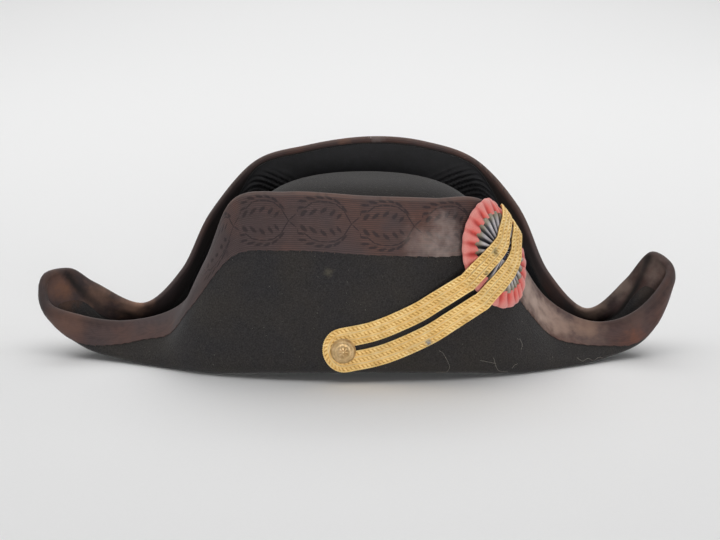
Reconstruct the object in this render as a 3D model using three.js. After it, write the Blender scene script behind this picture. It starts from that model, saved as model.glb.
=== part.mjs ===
// A felt bicorne: a round crown whose brim is cocked up into a front flap and a back flap,
// with two curled tips, a ribbon over the edge, a pleated cockade and a gold loop with its button.
import * as THREE from 'three';

// Driving sizes in millimetres. X runs from the left tip to the right tip, Y from the front flap
// to the back flap, Z upwards from the surface that the hat rests on.
const GAP = 0.3;
const FELT = 2.2;
const CROWN = { halfLength: 97, halfWidth: 79, height: 124, fullness: 3.2 };
const CROWN_FROM_MIDDLE = { x: 7, y: 2 };
// The underside is arched at the front and the back, where its direction from the crown's middle is
// steeper than the arch's start, and the keel of each tip sweeps up by a power of the way outward.
const ARCH = { height: 4.5, start: 0.55 };
const KEEL_SWEEP = 5;
// Felt that lies this close to the surface is pressed flat on it.
const REST_FLAT = 0.6;
// A bend takes up at most this share of the wall or the floor beside it, and leaves this share of the wall.
const BEND_SHARE = 0.8;
const LEAST_WALL = 0.2;
const RIBBON = { thick: 1, gap: 0.6, looseInside: 0.6, width: 40 };
const RIBBON_FOLD = { atMost: 20, atLeast: 2.6, left: [95, 150], right: [105, 165], back: [98, 125] };
const RIBBON_TOP = FELT / 2 + RIBBON.gap + RIBBON.thick;
const LINING = { thick: 1, gap: 0.7, belowRibbon: 2, firstSection: 12.3, lastSection: 19.7, rows: 5 };
const GATHERS = { folds: 4, depth: 2.4, atRibbon: 0.3, halfWidth: 0.42, sections: [14.3, 17.7], steps: 5 };
// The cockade's middle, the way that it faces from the front to the right, and how far it leans back.
const COCKADE = { x: 89.2, y: -73.2, z: 83.6, facing: 55, lean: 13.5, halfWidth: 36, halfHeight: 38 };
const COCKADE_PLEATS = { red: 24, silver: 28, blue: 8, ridgeAt: 0.62, scallop: 0.97 };
const COCKADE_BEND = { left: 100, right: 160 };
// The loop pulls the cockade's upper right edge back, from a share of the way out to it.
const COCKADE_PULL = { angle: 45, back: 6.5, from: 0.5 };
const CORD = { width: 4.3, thick: 2.4, edge: 1.2, endSqueeze: 0.9, topSqueeze: 0.68 };
const LEG_GAP = 3.4;
const CORD_STEPS = { betweenRows: 2, end: 6 };
const LOOP_LIFT = 1.1;
// Shares of the cockade's radius at a cord's last row and at its end.
const LOOP_END = { lastShare: 0.82, share: 0.89, step: 0.1 };
const BUTTON = { radius: 8.5, shank: 1.1, rimThick: 1.2, dome: 2.6, domeSteps: 4, sides: 18 };

// The brim, one row for each section, from the middle of the front flap round by the right tip,
// the back flap and the left tip. fold is the corner where the brim turns up from the surface, with
// its height measured to the felt's underside, bend is how far from that corner the felt is rounded,
// rim is the finished upper edge, and bulge is how far the wall swells outward between fold and rim.
const BRIM_COLUMNS = ['foldX', 'foldY', 'foldZ', 'bend', 'rimX', 'rimY', 'rimZ', 'bulge'];
const BRIM_SECTIONS = [
  [0, -95, 4, 9, 0, -90, 125, 2], // front flap, middle
  [48, -93, 3.5, 9, 44, -85.5, 122.7, 2], // front flap, right
  [86, -84, 1.5, 10, 79, -67, 117.8, 1], // front flap, right corner
  [115, -73, 0, 12, 102, -41, 76.5, 1], // right flank, upper
  [142, -58, 0, 12, 126, -24.5, 41.5, -1], // right flank, lower
  [173, -38, 3, 12, 160, -20, 24.5, 1], // right trough, front
  [199.5, -21, 12.5, 12, 188, -18.5, 32.5, 2], // right tip, front
  [211, -11, 27, 12, 205.5, -12.5, 48, 2], // right tip, front corner
  [215.5, 0, 42, 12, 213.5, -1, 61, 2], // right tip, end
  [206.5, 11, 56, 5, 204, 13, 68.5, 0], // right tip, shoulder
  [192, 17, 36, 8, 186, 20, 47, 0], // right tip, crease
  [168, 38, 5, 10, 157, 26, 24, 0], // right trough, back
  [145.5, 56, 0, 11, 132, 53, 46.5, -1], // right back flank, lower
  [117.5, 74, 0, 12, 111, 76, 91, 0], // right back flank, upper
  [87, 87, 1.5, 10, 81.5, 92, 122.8, 2], // back flap, right corner
  [46, 94, 3.5, 9, 44, 97, 136, 2], // back flap, right
  [0, 96, 4, 9, 4, 98, 139.5, 2], // back flap, middle
  [-46, 94, 3.5, 9, -44, 96.5, 133, 2], // back flap, left
  [-86, 87, 1.5, 10, -81, 92, 122, 2], // back flap, left corner
  [-117, 74, 0, 12, -112.5, 73, 88, 0], // left back flank, upper
  [-144, 56, 0, 11, -132.5, 52, 49, -1], // left back flank, lower
  [-167, 39, 3.5, 10, -157, 26, 28.5, 0], // left trough, back
  [-199, 21, 28, 8, -194, 19.5, 45, 0], // left tip, crease
  [-215, 12.5, 46.5, 5, -211.5, 16, 56, 0], // left tip, shoulder
  [-226.5, 2.5, 42, 10, -223.5, 4.5, 55, 2], // left tip, end
  [-225, -9, 26, 12, -223, -8, 38.5, 2], // left tip, front corner
  [-204, -26, 9.5, 12, -200, -18, 29.5, 2], // left tip, front
  [-177, -40, 3, 12, -168, -20, 25.3, 1], // left trough, front
  [-144, -58, 0, 12, -125.5, -31, 40.5, 3], // left flank, lower
  [-117, -73, 0, 12, -107, -49, 76, 8], // left flank, upper
  [-90, -84, 1.5, 10, -88, -71, 120, 2], // front flap, left corner
  [-50, -93, 3.5, 9, -52, -88, 127.5, 2], // front flap, left
];

// The cockade's rings, each with its inner and outer edge as shares of the cockade's radius and, above
// the cockade's back, the heights of its own back and of its pleats' hollows and ridges at both edges.
const RING_COLUMNS = ['inner', 'outer', 'back', 'innerHollow', 'innerRidge', 'outerHollow', 'outerRidge'];
const RED_RING = [0.725, 1, 0, 3.3, 4.6, 1.1, 2.3];
const SILVER_RING = [0.15, 0.715, 0.6, 3.4, 4.6, 3.4, 4.6];
const BLUE_RING = [0.03, 0.14, 0.6, 3.6, 4.2, 3.4, 4.2];

// The line between the loop's two legs, from the button to the top of the cockade. On the flap it has
// a place and the way that the loop faces there, and on the cockade a place to the right of and above
// the cockade's middle.
const FLAP_COLUMNS = ['x', 'y', 'z', 'facing'];
const LOOP_ON_FLAP = [
  [-15.2, -98, 22, 0], // round the button
  [9.3, -98, 27.6, 0], // flat on the felt
  [35.8, -98.8, 39.3, 2], // where it starts to rise
  [52.3, -101, 50, 8], // free between felt and cockade
];
const FACE_COLUMNS = ['right', 'up'];
const LOOP_ON_COCKADE = [
  [-34, -20.5], // over the lower edge
  [-26.5, -15.8],
  [-17.3, -10.4], // across the middle
  [-5, -4.2],
  [3, 1.6],
  [6.8, 8.2],
  [11.4, 14.4], // towards the upper right edge
  [17, 18.6],
  [23, 21.4],
  [29, 23.6],
];

// How finely the felt is cut into columns round the brim and rows from the rim to the apex.
const COLUMN_STEP = 15;
const RIBBON_ROWS = 3;
const BRIM_ROWS = 8;
const CROWN_ROWS = 5;
const STRAIGHT_STEP = 45;
const BEND_STEP = 0.4;
const FINE_STEPS = 16;
const RING_ROWS = 3;

const UP = new THREE.Vector3(0, 0, 1);
const rad = THREE.MathUtils.degToRad;

// A row of a table as an object with the names of its columns.
function named(columns, row) {
  return Object.fromEntries(columns.map((name, i) => [name, row[i]]));
}

// Smooth closed curve through the sections. A whole number is a section, a fraction lies between two.
function makeBrimCurve() {
  const rows = BRIM_SECTIONS.map((row) => named(BRIM_COLUMNS, row));
  const count = rows.length;
  const at = (i) => rows[(i + count) % count];
  const distance = (a, b, end) =>
    Math.hypot(b[`${end}X`] - a[`${end}X`], b[`${end}Y`] - a[`${end}Y`], b[`${end}Z`] - a[`${end}Z`]);
  const span = (i) => (distance(at(i), at(i + 1), 'fold') + distance(at(i), at(i + 1), 'rim')) / 2;
  const rise = (name, i) => (at(i + 1)[name] - at(i)[name]) / span(i);
  const slope = (name, i) =>
    (rise(name, i - 1) * span(i) + rise(name, i) * span(i - 1)) / (span(i - 1) + span(i));
  const valueAt = (name, place) => {
    const i = Math.floor(place);
    const f = place - i;
    const g = 1 - f;
    const ends = at(i)[name] * g * g * (1 + 2 * f) + at(i + 1)[name] * f * f * (1 + 2 * g);
    const leans = f * g * span(i) * (slope(name, i) * g - slope(name, i + 1) * f);
    return ends + leans;
  };
  const sectionAt = (place) => Object.fromEntries(BRIM_COLUMNS.map((name) => [name, valueAt(name, place)]));
  return { count, span, sectionAt };
}

const brim = makeBrimCurve();

// Places of the columns round the brim, close together where the sections are.
function columnPlaces() {
  const places = [];
  for (let i = 0; i < brim.count; i += 1) {
    const steps = Math.max(2, Math.round(brim.span(i) / COLUMN_STEP));
    for (let k = 0; k < steps; k += 1) places.push(i + k / steps);
  }
  return places;
}

// How far the ribbon reaches down the outside and the inside of the brim: nearly all of it lies
// outside on the front flap and where the back's rim stands high, and half of it is turned in at the
// tips and where the back's rim is low.
function ribbonReach(section) {
  const sideOfFront = section.rimX < 0 ? RIBBON_FOLD.left : RIBBON_FOLD.right;
  const turnedIn = section.rimY < 0
    ? THREE.MathUtils.smoothstep(Math.abs(section.rimX), ...sideOfFront)
    : 1 - THREE.MathUtils.smoothstep(section.rimZ, ...RIBBON_FOLD.back);
  const inside = THREE.MathUtils.lerp(RIBBON_FOLD.atLeast, RIBBON_FOLD.atMost, turnedIn);
  return { inside, outside: RIBBON.width - inside };
}

// Point of the crown's middle surface, from the apex at level 0 to the brim at level 1.
function crownPoint(seat, seatZ, level) {
  const angle = (level * Math.PI) / 2;
  const radius = Math.sin(angle) ** (2 / CROWN.fullness);
  const lift = Math.max(0, Math.cos(angle)) ** (2 / CROWN.fullness);
  return new THREE.Vector3(
    CROWN.halfLength * radius * Math.cos(seat),
    CROWN.halfWidth * radius * Math.sin(seat),
    THREE.MathUtils.lerp(seatZ, CROWN.height, lift),
  );
}

// Lengths along a run of points, measured from its first point.
function runLengths(points) {
  const lengths = [0];
  for (let k = 1; k < points.length; k += 1) {
    lengths.push(lengths[k - 1] + points[k].distanceTo(points[k - 1]));
  }
  return lengths;
}

// Finds the step of a rising list that holds a value, and how far into that step it lies.
function findStep(rising, value) {
  let k = 1;
  while (k < rising.length - 1 && rising[k] < value) k += 1;
  return { k, f: (value - rising[k - 1]) / (rising[k] - rising[k - 1]) };
}

// Point at a given length along a run.
function pointAlong(points, lengths, length) {
  const { k, f } = findStep(lengths, length);
  return points[k - 1].clone().lerp(points[k], f);
}

// Fine run of points over the felt's middle surface at one section, from the rim inward to the crown.
function brimRun(section) {
  const seat = Math.atan2(section.foldY / CROWN.halfWidth, section.foldX / CROWN.halfLength);
  const arch = ARCH.height * THREE.MathUtils.smoothstep(Math.abs(Math.sin(seat)), ARCH.start, 1);
  const inner = crownPoint(seat, arch + FELT / 2, 1);
  const fold = new THREE.Vector3(section.foldX, section.foldY, section.foldZ + FELT / 2);
  const rim = new THREE.Vector3(section.rimX, section.rimY, section.rimZ);
  const outward = new THREE.Vector3(fold.x - inner.x, fold.y - inner.y, 0).normalize();
  const wall = (f) => rim.clone().lerp(fold, f).addScaledVector(outward, 4 * section.bulge * f * (1 - f));
  const floor = (f) => {
    const point = fold.clone().lerp(inner, f);
    point.z = inner.z + (fold.z - inner.z) * (1 - f) ** KEEL_SWEEP;
    return point;
  };
  const wallStart = RIBBON_TOP / rim.distanceTo(fold);
  const bendStart = 1 - Math.min(BEND_SHARE, section.bend / rim.distanceTo(fold));
  const wallEnd = Math.max(bendStart, wallStart + LEAST_WALL);
  const floorStart = Math.min(BEND_SHARE, section.bend / fold.distanceTo(inner));
  const corner = new THREE.QuadraticBezierCurve3(wall(wallEnd), fold, floor(floorStart));
  const steps = Array.from({ length: FINE_STEPS + 1 }, (_, k) => k / FINE_STEPS);
  const points = [
    ...steps.map((f) => wall(THREE.MathUtils.lerp(wallStart, wallEnd, f))),
    ...steps.slice(1).map((f) => corner.getPoint(f)),
    ...steps.slice(1).map((f) => floor(THREE.MathUtils.lerp(floorStart, 1, f))),
  ];
  const lengths = runLengths(points);
  return { seat, seatZ: inner.z, points, lengths, wallLength: lengths[FINE_STEPS] };
}

// Lengths from the rim of the felt's rows: even down to the ribbon's lower edge, and from there
// to the crown closer together where the run bends.
function rowLengths(run, ribbonEdge) {
  const { points, lengths } = run;
  const effort = [0];
  for (let k = 1; k < points.length; k += 1) {
    const before = points[k].clone().sub(points[k - 1]);
    const after = points[Math.min(k + 1, points.length - 1)].clone().sub(points[k]);
    const turn = after.lengthSq() > 0 ? before.angleTo(after) : 0;
    effort.push(effort[k - 1] + before.length() / STRAIGHT_STEP + turn / BEND_STEP);
  }
  const edge = findStep(lengths, ribbonEdge);
  const edgeEffort = THREE.MathUtils.lerp(effort[edge.k - 1], effort[edge.k], edge.f);
  const rows = [];
  for (let k = 0; k <= RIBBON_ROWS; k += 1) rows.push((ribbonEdge * k) / RIBBON_ROWS);
  for (let k = 1; k <= BRIM_ROWS; k += 1) {
    const { k: next, f } = findStep(effort, THREE.MathUtils.lerp(edgeEffort, effort.at(-1), k / BRIM_ROWS));
    rows.push(THREE.MathUtils.lerp(lengths[next - 1], lengths[next], f));
  }
  return rows;
}

// The felt's middle surface in columns of points, from the rim over the brim and up the crown.
function feltColumn(place) {
  const section = brim.sectionAt(place);
  const run = brimRun(section);
  const reach = ribbonReach(section);
  const points = rowLengths(run, reach.outside).map((length) => pointAlong(run.points, run.lengths, length));
  const brimLengths = runLengths(points);
  for (let k = CROWN_ROWS - 1; k > 0; k -= 1) points.push(crownPoint(run.seat, run.seatZ, k / CROWN_ROWS));
  return { place, reach, points, brimLengths, wallLength: run.wallLength };
}

// Unit normals of a grid of points: the way across its columns turned towards the way along them.
function gridNormals(grid, closed) {
  const columns = grid.length;
  const near = (i) => (closed ? (i + columns) % columns : THREE.MathUtils.clamp(i, 0, columns - 1));
  return grid.map((column, i) =>
    column.map((_, j) => {
      const across = grid[near(i + 1)][j].clone().sub(grid[near(i - 1)][j]);
      const along = column[Math.min(column.length - 1, j + 1)].clone().sub(column[Math.max(0, j - 1)]);
      return across.cross(along).normalize();
    }),
  );
}

// Closed solid between two grids of the same size. closed joins the last column to the first, and
// poles are the points that close the ends of the columns of both grids.
function solidBetween(face, back, closed, poles = null) {
  const columns = face.length;
  const rows = face[0].length;
  const side = columns * rows;
  const points = [...face.flat(), ...back.flat(), ...(poles ?? [])];
  const onFace = (i, j) => (i % columns) * rows + j;
  const onBack = (i, j) => side + onFace(i, j);
  const index = [];
  const quad = (a, b, c, d) => {
    const shortAcross = points[a].distanceTo(points[c]) <= points[b].distanceTo(points[d]);
    index.push(...(shortAcross ? [a, b, c, a, c, d] : [b, c, d, b, d, a]));
  };
  for (let i = 0; i < (closed ? columns : columns - 1); i += 1) {
    for (let j = 0; j < rows - 1; j += 1) {
      quad(onFace(i, j), onFace(i + 1, j), onFace(i + 1, j + 1), onFace(i, j + 1));
      quad(onBack(i, j), onBack(i, j + 1), onBack(i + 1, j + 1), onBack(i + 1, j));
    }
    quad(onFace(i, 0), onBack(i, 0), onBack(i + 1, 0), onFace(i + 1, 0));
    if (poles) {
      index.push(onFace(i, rows - 1), onFace(i + 1, rows - 1), 2 * side);
      index.push(onBack(i + 1, rows - 1), onBack(i, rows - 1), 2 * side + 1);
    } else {
      quad(onFace(i, rows - 1), onFace(i + 1, rows - 1), onBack(i + 1, rows - 1), onBack(i, rows - 1));
    }
  }
  if (!closed) {
    for (let j = 0; j < rows - 1; j += 1) {
      quad(onFace(0, j), onFace(0, j + 1), onBack(0, j + 1), onBack(0, j));
      const end = columns - 1;
      quad(onFace(end, j), onBack(end, j), onBack(end, j + 1), onFace(end, j + 1));
    }
  }
  const geometry = new THREE.BufferGeometry().setFromPoints(points);
  geometry.setIndex(index);
  geometry.computeVertexNormals();
  return geometry;
}

// Two grids half the thickness to each side of a middle surface.
function bothSides(grid, thick, closed) {
  const normals = gridNormals(grid, closed);
  const moved = (amount) =>
    grid.map((column, i) => column.map((point, j) => point.clone().addScaledVector(normals[i][j], amount)));
  return [moved(thick / 2), moved(-thick / 2)];
}

const feltColumns = columnPlaces().map(feltColumn);
const feltGrid = feltColumns.map((column) => column.points);
const feltNormals = gridNormals(feltGrid, true);

// The felt is one solid wall, open below the crown, with its underside flat where the hat rests.
function feltBody() {
  const [upper, under] = bothSides(feltGrid, FELT, true);
  const resting = under.flat().filter((point) => point.z < REST_FLAT);
  resting.forEach((point) => point.setZ(0));
  const poles = [FELT / 2, -FELT / 2].map((lift) => new THREE.Vector3(0, 0, CROWN.height + lift));
  return solidBetween(upper, under, true, poles);
}

// Point on the felt's middle surface at a length from the rim, lifted off it into the hat.
function onColumn(i, length, lift) {
  const { points, brimLengths } = feltColumns[i];
  const { k, f } = findStep(brimLengths, length);
  const normal = feltNormals[i][k - 1].clone().lerp(feltNormals[i][k], f).normalize();
  return points[k - 1].clone().lerp(points[k], f).addScaledVector(normal, lift);
}

// The ribbon runs up the outside of the brim, over the rim and down the inside.
function edgeRibbon() {
  const lift = FELT / 2 + RIBBON.gap + RIBBON.thick / 2;
  const looseLift = lift + RIBBON.looseInside;
  const grid = feltColumns.map(({ points, reach }, i) => {
    const outside = points.slice(0, RIBBON_ROWS + 1);
    outside.forEach((point, j) => (outside[j] = point.clone().addScaledVector(feltNormals[i][j], -lift)));
    const over = points[0].clone().sub(points[1]).setLength(lift).add(points[0]);
    const inside = [1, 0.5, 0].map((f) => onColumn(i, f * reach.inside, f > 0 ? looseLift : lift));
    return [...inside, over, ...outside];
  });
  return solidBetween(...bothSides(grid, RIBBON.thick, true), true);
}

// Point on the felt at a place between two columns, as onColumn gives it on a column.
function onFelt(column, length, lift) {
  const i = Math.floor(column);
  return onColumn(i, length, lift).lerp(onColumn(i + 1, length, lift), column - i);
}

// The lining's gathers stand off the felt in folds that die away towards the rim.
function gatherLift(place, down) {
  const fromCorner = Math.min(...GATHERS.sections.map((section) => Math.abs(place - section)));
  const near = Math.max(0, 1 - fromCorner / GATHERS.halfWidth);
  const wave = Math.sin((fromCorner / GATHERS.halfWidth) * GATHERS.folds * Math.PI) ** 2;
  return GATHERS.depth * Math.sqrt(near) * wave * Math.min(1, GATHERS.atRibbon + down);
}

// The lining covers the inner face of the back flap, from the ribbon down to the bend.
function backFlapLining() {
  const lift = FELT / 2 + LINING.gap + LINING.thick / 2;
  const first = feltColumns.findIndex(({ place }) => place >= LINING.firstSection);
  const last = feltColumns.findIndex(({ place }) => place > LINING.lastSection);
  const grid = [];
  for (let i = first; i < last; i += 1) {
    const { place, reach, wallLength } = feltColumns[i];
    const next = feltColumns[i + 1];
    const width = next.place - place;
    const middle = place + width / 2;
    const gathered = GATHERS.sections.some((section) => Math.abs(middle - section) < GATHERS.halfWidth);
    const steps = gathered ? GATHERS.steps : 1;
    for (let k = 0; k < steps; k += 1) {
      const f = k / steps;
      const top = THREE.MathUtils.lerp(reach.inside, next.reach.inside, f) + LINING.belowRibbon;
      const bottom = THREE.MathUtils.lerp(wallLength, next.wallLength, f);
      const column = [];
      for (let j = 0; j <= LINING.rows; j += 1) {
        const down = j / LINING.rows;
        const gather = gatherLift(place + f * width, down);
        column.push(onFelt(i + f, THREE.MathUtils.lerp(top, bottom, down), lift + gather));
      }
      grid.push(column);
    }
  }
  return solidBetween(...bothSides(grid, LINING.thick, false), false);
}

// Point of the cockade: right of, above and in front of the middle of its back, which is bent round
// the flap's corner, leans back and is pulled back towards its upper right edge.
function onCockade(right, up, height) {
  const pull = rad(COCKADE_PULL.angle);
  const toEdge = (right / COCKADE.halfWidth) * Math.cos(pull) + (up / COCKADE.halfHeight) * Math.sin(pull);
  const out = height - COCKADE_PULL.back * THREE.MathUtils.smoothstep(toEdge, COCKADE_PULL.from, 1);
  const facing = rad(COCKADE.facing);
  const lean = rad(COCKADE.lean);
  const bend = right < 0 ? COCKADE_BEND.left : COCKADE_BEND.right;
  const along = (bend + out) * Math.sin(right / bend);
  const ahead = (bend + out) * Math.cos(right / bend) - bend;
  const forward = ahead * Math.cos(lean) - up * Math.sin(lean);
  const rise = up * Math.cos(lean) + ahead * Math.sin(lean);
  return new THREE.Vector3(
    COCKADE.x + along * Math.cos(facing) + forward * Math.sin(facing),
    COCKADE.y + along * Math.sin(facing) - forward * Math.cos(facing),
    COCKADE.z + rise,
  );
}

// One pleated ring of the cockade. Each pleat rises slowly to its ridge and drops to the next hollow.
function cockadeRing(row, pleats) {
  const ring = named(RING_COLUMNS, row);
  const face = [];
  const back = [];
  for (let k = 0; k < 2 * pleats; k += 1) {
    const ridge = k % 2 === 1;
    const angle = ((Math.floor(k / 2) + (ridge ? COCKADE_PLEATS.ridgeAt : 0)) / pleats) * 2 * Math.PI;
    const outer = ridge ? ring.outer : ring.outer * COCKADE_PLEATS.scallop;
    const column = (outerHeight, innerHeight) =>
      Array.from({ length: RING_ROWS + 1 }, (_, j) => {
        const share = THREE.MathUtils.lerp(outer, ring.inner, j / RING_ROWS);
        const right = COCKADE.halfWidth * share * Math.cos(angle);
        const up = COCKADE.halfHeight * share * Math.sin(angle);
        return onCockade(right, up, THREE.MathUtils.lerp(outerHeight, innerHeight, j / RING_ROWS));
      });
    face.push(ridge ? column(ring.outerRidge, ring.innerRidge) : column(ring.outerHollow, ring.innerHollow));
    back.push(column(ring.back, ring.back));
  }
  return solidBetween(face, back, true);
}

// Height of the cockade's ridges at a share of its radius.
function ridgeHeight(share) {
  const red = named(RING_COLUMNS, RED_RING);
  const held = THREE.MathUtils.clamp(share, red.inner, red.outer);
  return THREE.MathUtils.mapLinear(held, red.inner, red.outer, red.innerRidge, red.outerRidge);
}

// Frame of a cord on the cockade: its place, the way it faces and its width, squeezed where the legs
// are drawn together.
function cockadeFrame(right, up, out, squeeze) {
  const centre = onCockade(right, up, out);
  const rightward = onCockade(right + 1, up, out).sub(centre);
  const upward = onCockade(right, up + 1, out).sub(centre);
  return { centre, front: rightward.cross(upward).normalize(), width: CORD.width * squeeze };
}

// Place where a line over the cockade's face, from a place on it along a way, comes near its edge.
function edgeFrom(start, way) {
  const spot = start.clone();
  const share = () => Math.hypot(spot.x / COCKADE.halfWidth, spot.y / COCKADE.halfHeight);
  while (share() < LOOP_END.share) spot.addScaledVector(way, LOOP_END.step);
  return spot;
}

// Frames of one leg of a cord at a distance to the side of the loop's line, from the button upward.
// The cord ends at the cockade's upper edge.
function legFrames(offset) {
  const lift = CORD.thick / 2 + LOOP_LIFT;
  const frames = [];
  const flap = LOOP_ON_FLAP.map((row) => named(FLAP_COLUMNS, row));
  const face = LOOP_ON_COCKADE.map((row) => named(FACE_COLUMNS, row));
  const meeting = cockadeFrame(face[0].right, face[0].up, ridgeHeight(1) + lift, 1);
  const places = flap.map(({ x, y, z }) => new THREE.Vector3(x, y, z));
  const fronts = flap.map(({ facing }) => new THREE.Vector3(0, -1, 0).applyAxisAngle(UP, rad(facing)));
  const line = new THREE.CatmullRomCurve3([...places, meeting.centre], false, 'catmullrom');
  const facing = new THREE.CatmullRomCurve3([...fronts, meeting.front], false, 'catmullrom');
  const steps = flap.length * CORD_STEPS.betweenRows;
  for (let k = 0; k < steps; k += 1) {
    const front = facing.getPoint(k / steps).normalize();
    const side = line.getTangent(k / steps).cross(front).normalize();
    const centre = line.getPoint(k / steps).addScaledVector(side, offset);
    frames.push({ centre, front, width: CORD.width });
  }
  const way = new THREE.Vector2();
  const last = new THREE.Vector2();
  for (let k = 0; k < face.length; k += 1) {
    const before = face[Math.max(0, k - 1)];
    const after = face[Math.min(face.length - 1, k + 1)];
    const step = Math.hypot(after.right - before.right, after.up - before.up);
    const climb = Math.max(face[k].up, 0) / COCKADE.halfHeight;
    const squeeze = THREE.MathUtils.lerp(1, CORD.topSqueeze, climb);
    const right = face[k].right + (offset * squeeze * (after.up - before.up)) / step;
    const up = face[k].up - (offset * squeeze * (after.right - before.right)) / step;
    const share = Math.hypot(right / COCKADE.halfWidth, up / COCKADE.halfHeight);
    way.set(after.right - before.right, after.up - before.up).normalize();
    if (up > 0 && share > LOOP_END.lastShare) break;
    frames.push(cockadeFrame(right, up, ridgeHeight(share) + lift, squeeze));
    last.set(right, up);
  }
  const edge = edgeFrom(last, way);
  frames.push(cockadeFrame(edge.x, edge.y, ridgeHeight(LOOP_END.share) + lift, CORD.topSqueeze));
  return frames;
}

// One cord of the loop at a distance to each side of the loop's line: down one leg, round the button
// and up the other leg.
function loopCord(offset) {
  const left = legFrames(-offset);
  const right = legFrames(offset);
  const middle = left[0].centre.clone().lerp(right[0].centre, 0.5);
  const side = right[0].centre.clone().sub(middle);
  const along = left[0].front.clone().cross(side);
  const end = [];
  for (let k = 0; k <= CORD_STEPS.end; k += 1) {
    const angle = (k / CORD_STEPS.end) * Math.PI;
    const centre = middle.clone().addScaledVector(side, -Math.cos(angle));
    centre.addScaledVector(along, -Math.sin(angle) * CORD.endSqueeze);
    const width = CORD.width * THREE.MathUtils.lerp(1, CORD.endSqueeze, Math.sin(angle));
    end.push({ centre, front: left[0].front, width });
  }
  return cordSolid([...left.slice(1).reverse(), ...end, ...right.slice(1)]);
}

// Flattened cord through a run of frames, with a ridge along the middle of its front and its back.
function cordSolid(frames) {
  const across = frames.map(({ centre, front }, k) => {
    const before = frames[Math.max(0, k - 1)].centre;
    const after = frames[Math.min(frames.length - 1, k + 1)].centre;
    return after.clone().sub(before).cross(front).normalize();
  });
  const strip = (share, lift) =>
    frames.map(({ centre, front, width }, k) =>
      centre.clone().addScaledVector(across[k], share * width).addScaledVector(front, lift / 2));
  const face = [strip(-0.5, CORD.edge), strip(0, CORD.thick), strip(0.5, CORD.edge)];
  const back = [strip(-0.5, -CORD.edge), strip(0, -CORD.thick), strip(0.5, -CORD.edge)];
  return solidBetween(face, back, false);
}

// The button's shank goes through the loop's end, and its domed head lies on the cords.
function buttonTurning() {
  const neck = GAP + CORD.thick + GAP;
  const rim = neck + BUTTON.rimThick;
  const profile = [
    new THREE.Vector2(0, 0),
    new THREE.Vector2(BUTTON.shank, 0),
    new THREE.Vector2(BUTTON.shank, neck),
    new THREE.Vector2(BUTTON.radius - BUTTON.rimThick / 2, neck),
    new THREE.Vector2(BUTTON.radius, neck + BUTTON.rimThick / 2),
    new THREE.Vector2(BUTTON.radius - BUTTON.rimThick / 2, rim),
  ];
  for (let k = 1; k <= BUTTON.domeSteps; k += 1) {
    const angle = ((k / BUTTON.domeSteps) * Math.PI) / 2;
    const radius = (BUTTON.radius - BUTTON.rimThick) * Math.cos(angle);
    profile.push(new THREE.Vector2(k < BUTTON.domeSteps ? radius : 0, rim + BUTTON.dome * Math.sin(angle)));
  }
  return new THREE.LatheGeometry(profile, BUTTON.sides);
}

function piece(name, geometry, color, roughness, metalness = 0) {
  const mesh = new THREE.Mesh(geometry, new THREE.MeshStandardMaterial({ color, roughness, metalness }));
  mesh.name = name;
  return mesh;
}

const hat = new THREE.Group();
hat.add(piece('felt_body', feltBody(), 0x2b2827, 0.95));
hat.add(piece('edge_ribbon', edgeRibbon(), 0x4a3a34, 0.8));
hat.add(piece('back_flap_lining', backFlapLining(), 0x141414, 0.7));
hat.add(piece('cockade_red_pleats', cockadeRing(RED_RING, COCKADE_PLEATS.red), 0xd8645c, 0.75));
hat.add(piece('cockade_silver_pleats', cockadeRing(SILVER_RING, COCKADE_PLEATS.silver), 0xa8a2ac, 0.5));
hat.add(piece('cockade_blue_centre', cockadeRing(BLUE_RING, COCKADE_PLEATS.blue), 0x20263c, 0.7));
['inner', 'middle', 'outer'].forEach((name, k) => {
  const offset = (LEG_GAP + CORD.width) / 2 + k * (CORD.width + GAP);
  hat.add(piece(`loop_cord_${name}`, loopCord(offset), 0xc79a45, 0.45, 0.6));
});
const button = piece('button', buttonTurning(), 0x9a7a40, 0.45, 0.8);
button.rotation.z = Math.PI;
const loopEnd = named(FLAP_COLUMNS, LOOP_ON_FLAP[0]);
button.position.set(loopEnd.x, loopEnd.y + CORD.thick / 2, loopEnd.z);
hat.add(button);
hat.position.set(CROWN_FROM_MIDDLE.x, CROWN_FROM_MIDDLE.y, 0);

export default hat;
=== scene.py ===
"""Felt bicorne: its finished surfaces, trimmings, floor and light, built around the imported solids.

Sizes are in millimetres in the part's own frame, and meshes are made in metres.
"""

import logging
import math
from dataclasses import dataclass
from enum import Enum
from typing import Any, ClassVar, Sequence

import bpy
import numpy as np
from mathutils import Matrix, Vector


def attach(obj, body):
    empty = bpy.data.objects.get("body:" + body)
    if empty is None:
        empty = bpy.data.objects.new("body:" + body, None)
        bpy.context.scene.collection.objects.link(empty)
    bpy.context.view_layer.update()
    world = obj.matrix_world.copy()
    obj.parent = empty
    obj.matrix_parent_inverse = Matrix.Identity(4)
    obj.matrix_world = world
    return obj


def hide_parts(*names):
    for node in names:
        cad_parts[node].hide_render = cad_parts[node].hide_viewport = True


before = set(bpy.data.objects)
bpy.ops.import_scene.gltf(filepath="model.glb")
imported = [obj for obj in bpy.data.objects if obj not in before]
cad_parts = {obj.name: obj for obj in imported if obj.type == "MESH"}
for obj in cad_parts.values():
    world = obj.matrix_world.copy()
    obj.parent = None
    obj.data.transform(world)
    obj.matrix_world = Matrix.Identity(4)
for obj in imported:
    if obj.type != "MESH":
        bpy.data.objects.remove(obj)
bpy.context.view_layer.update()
LOG = logging.getLogger("bicorne")

MM = 0.001
TINY = 1e-12
Array = np.ndarray
Material = bpy.types.Material
Piece = bpy.types.Object
Socket = bpy.types.NodeSocket
Tree = bpy.types.NodeTree
Span = tuple[float, float]
Place = tuple[float, float, float]

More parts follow.
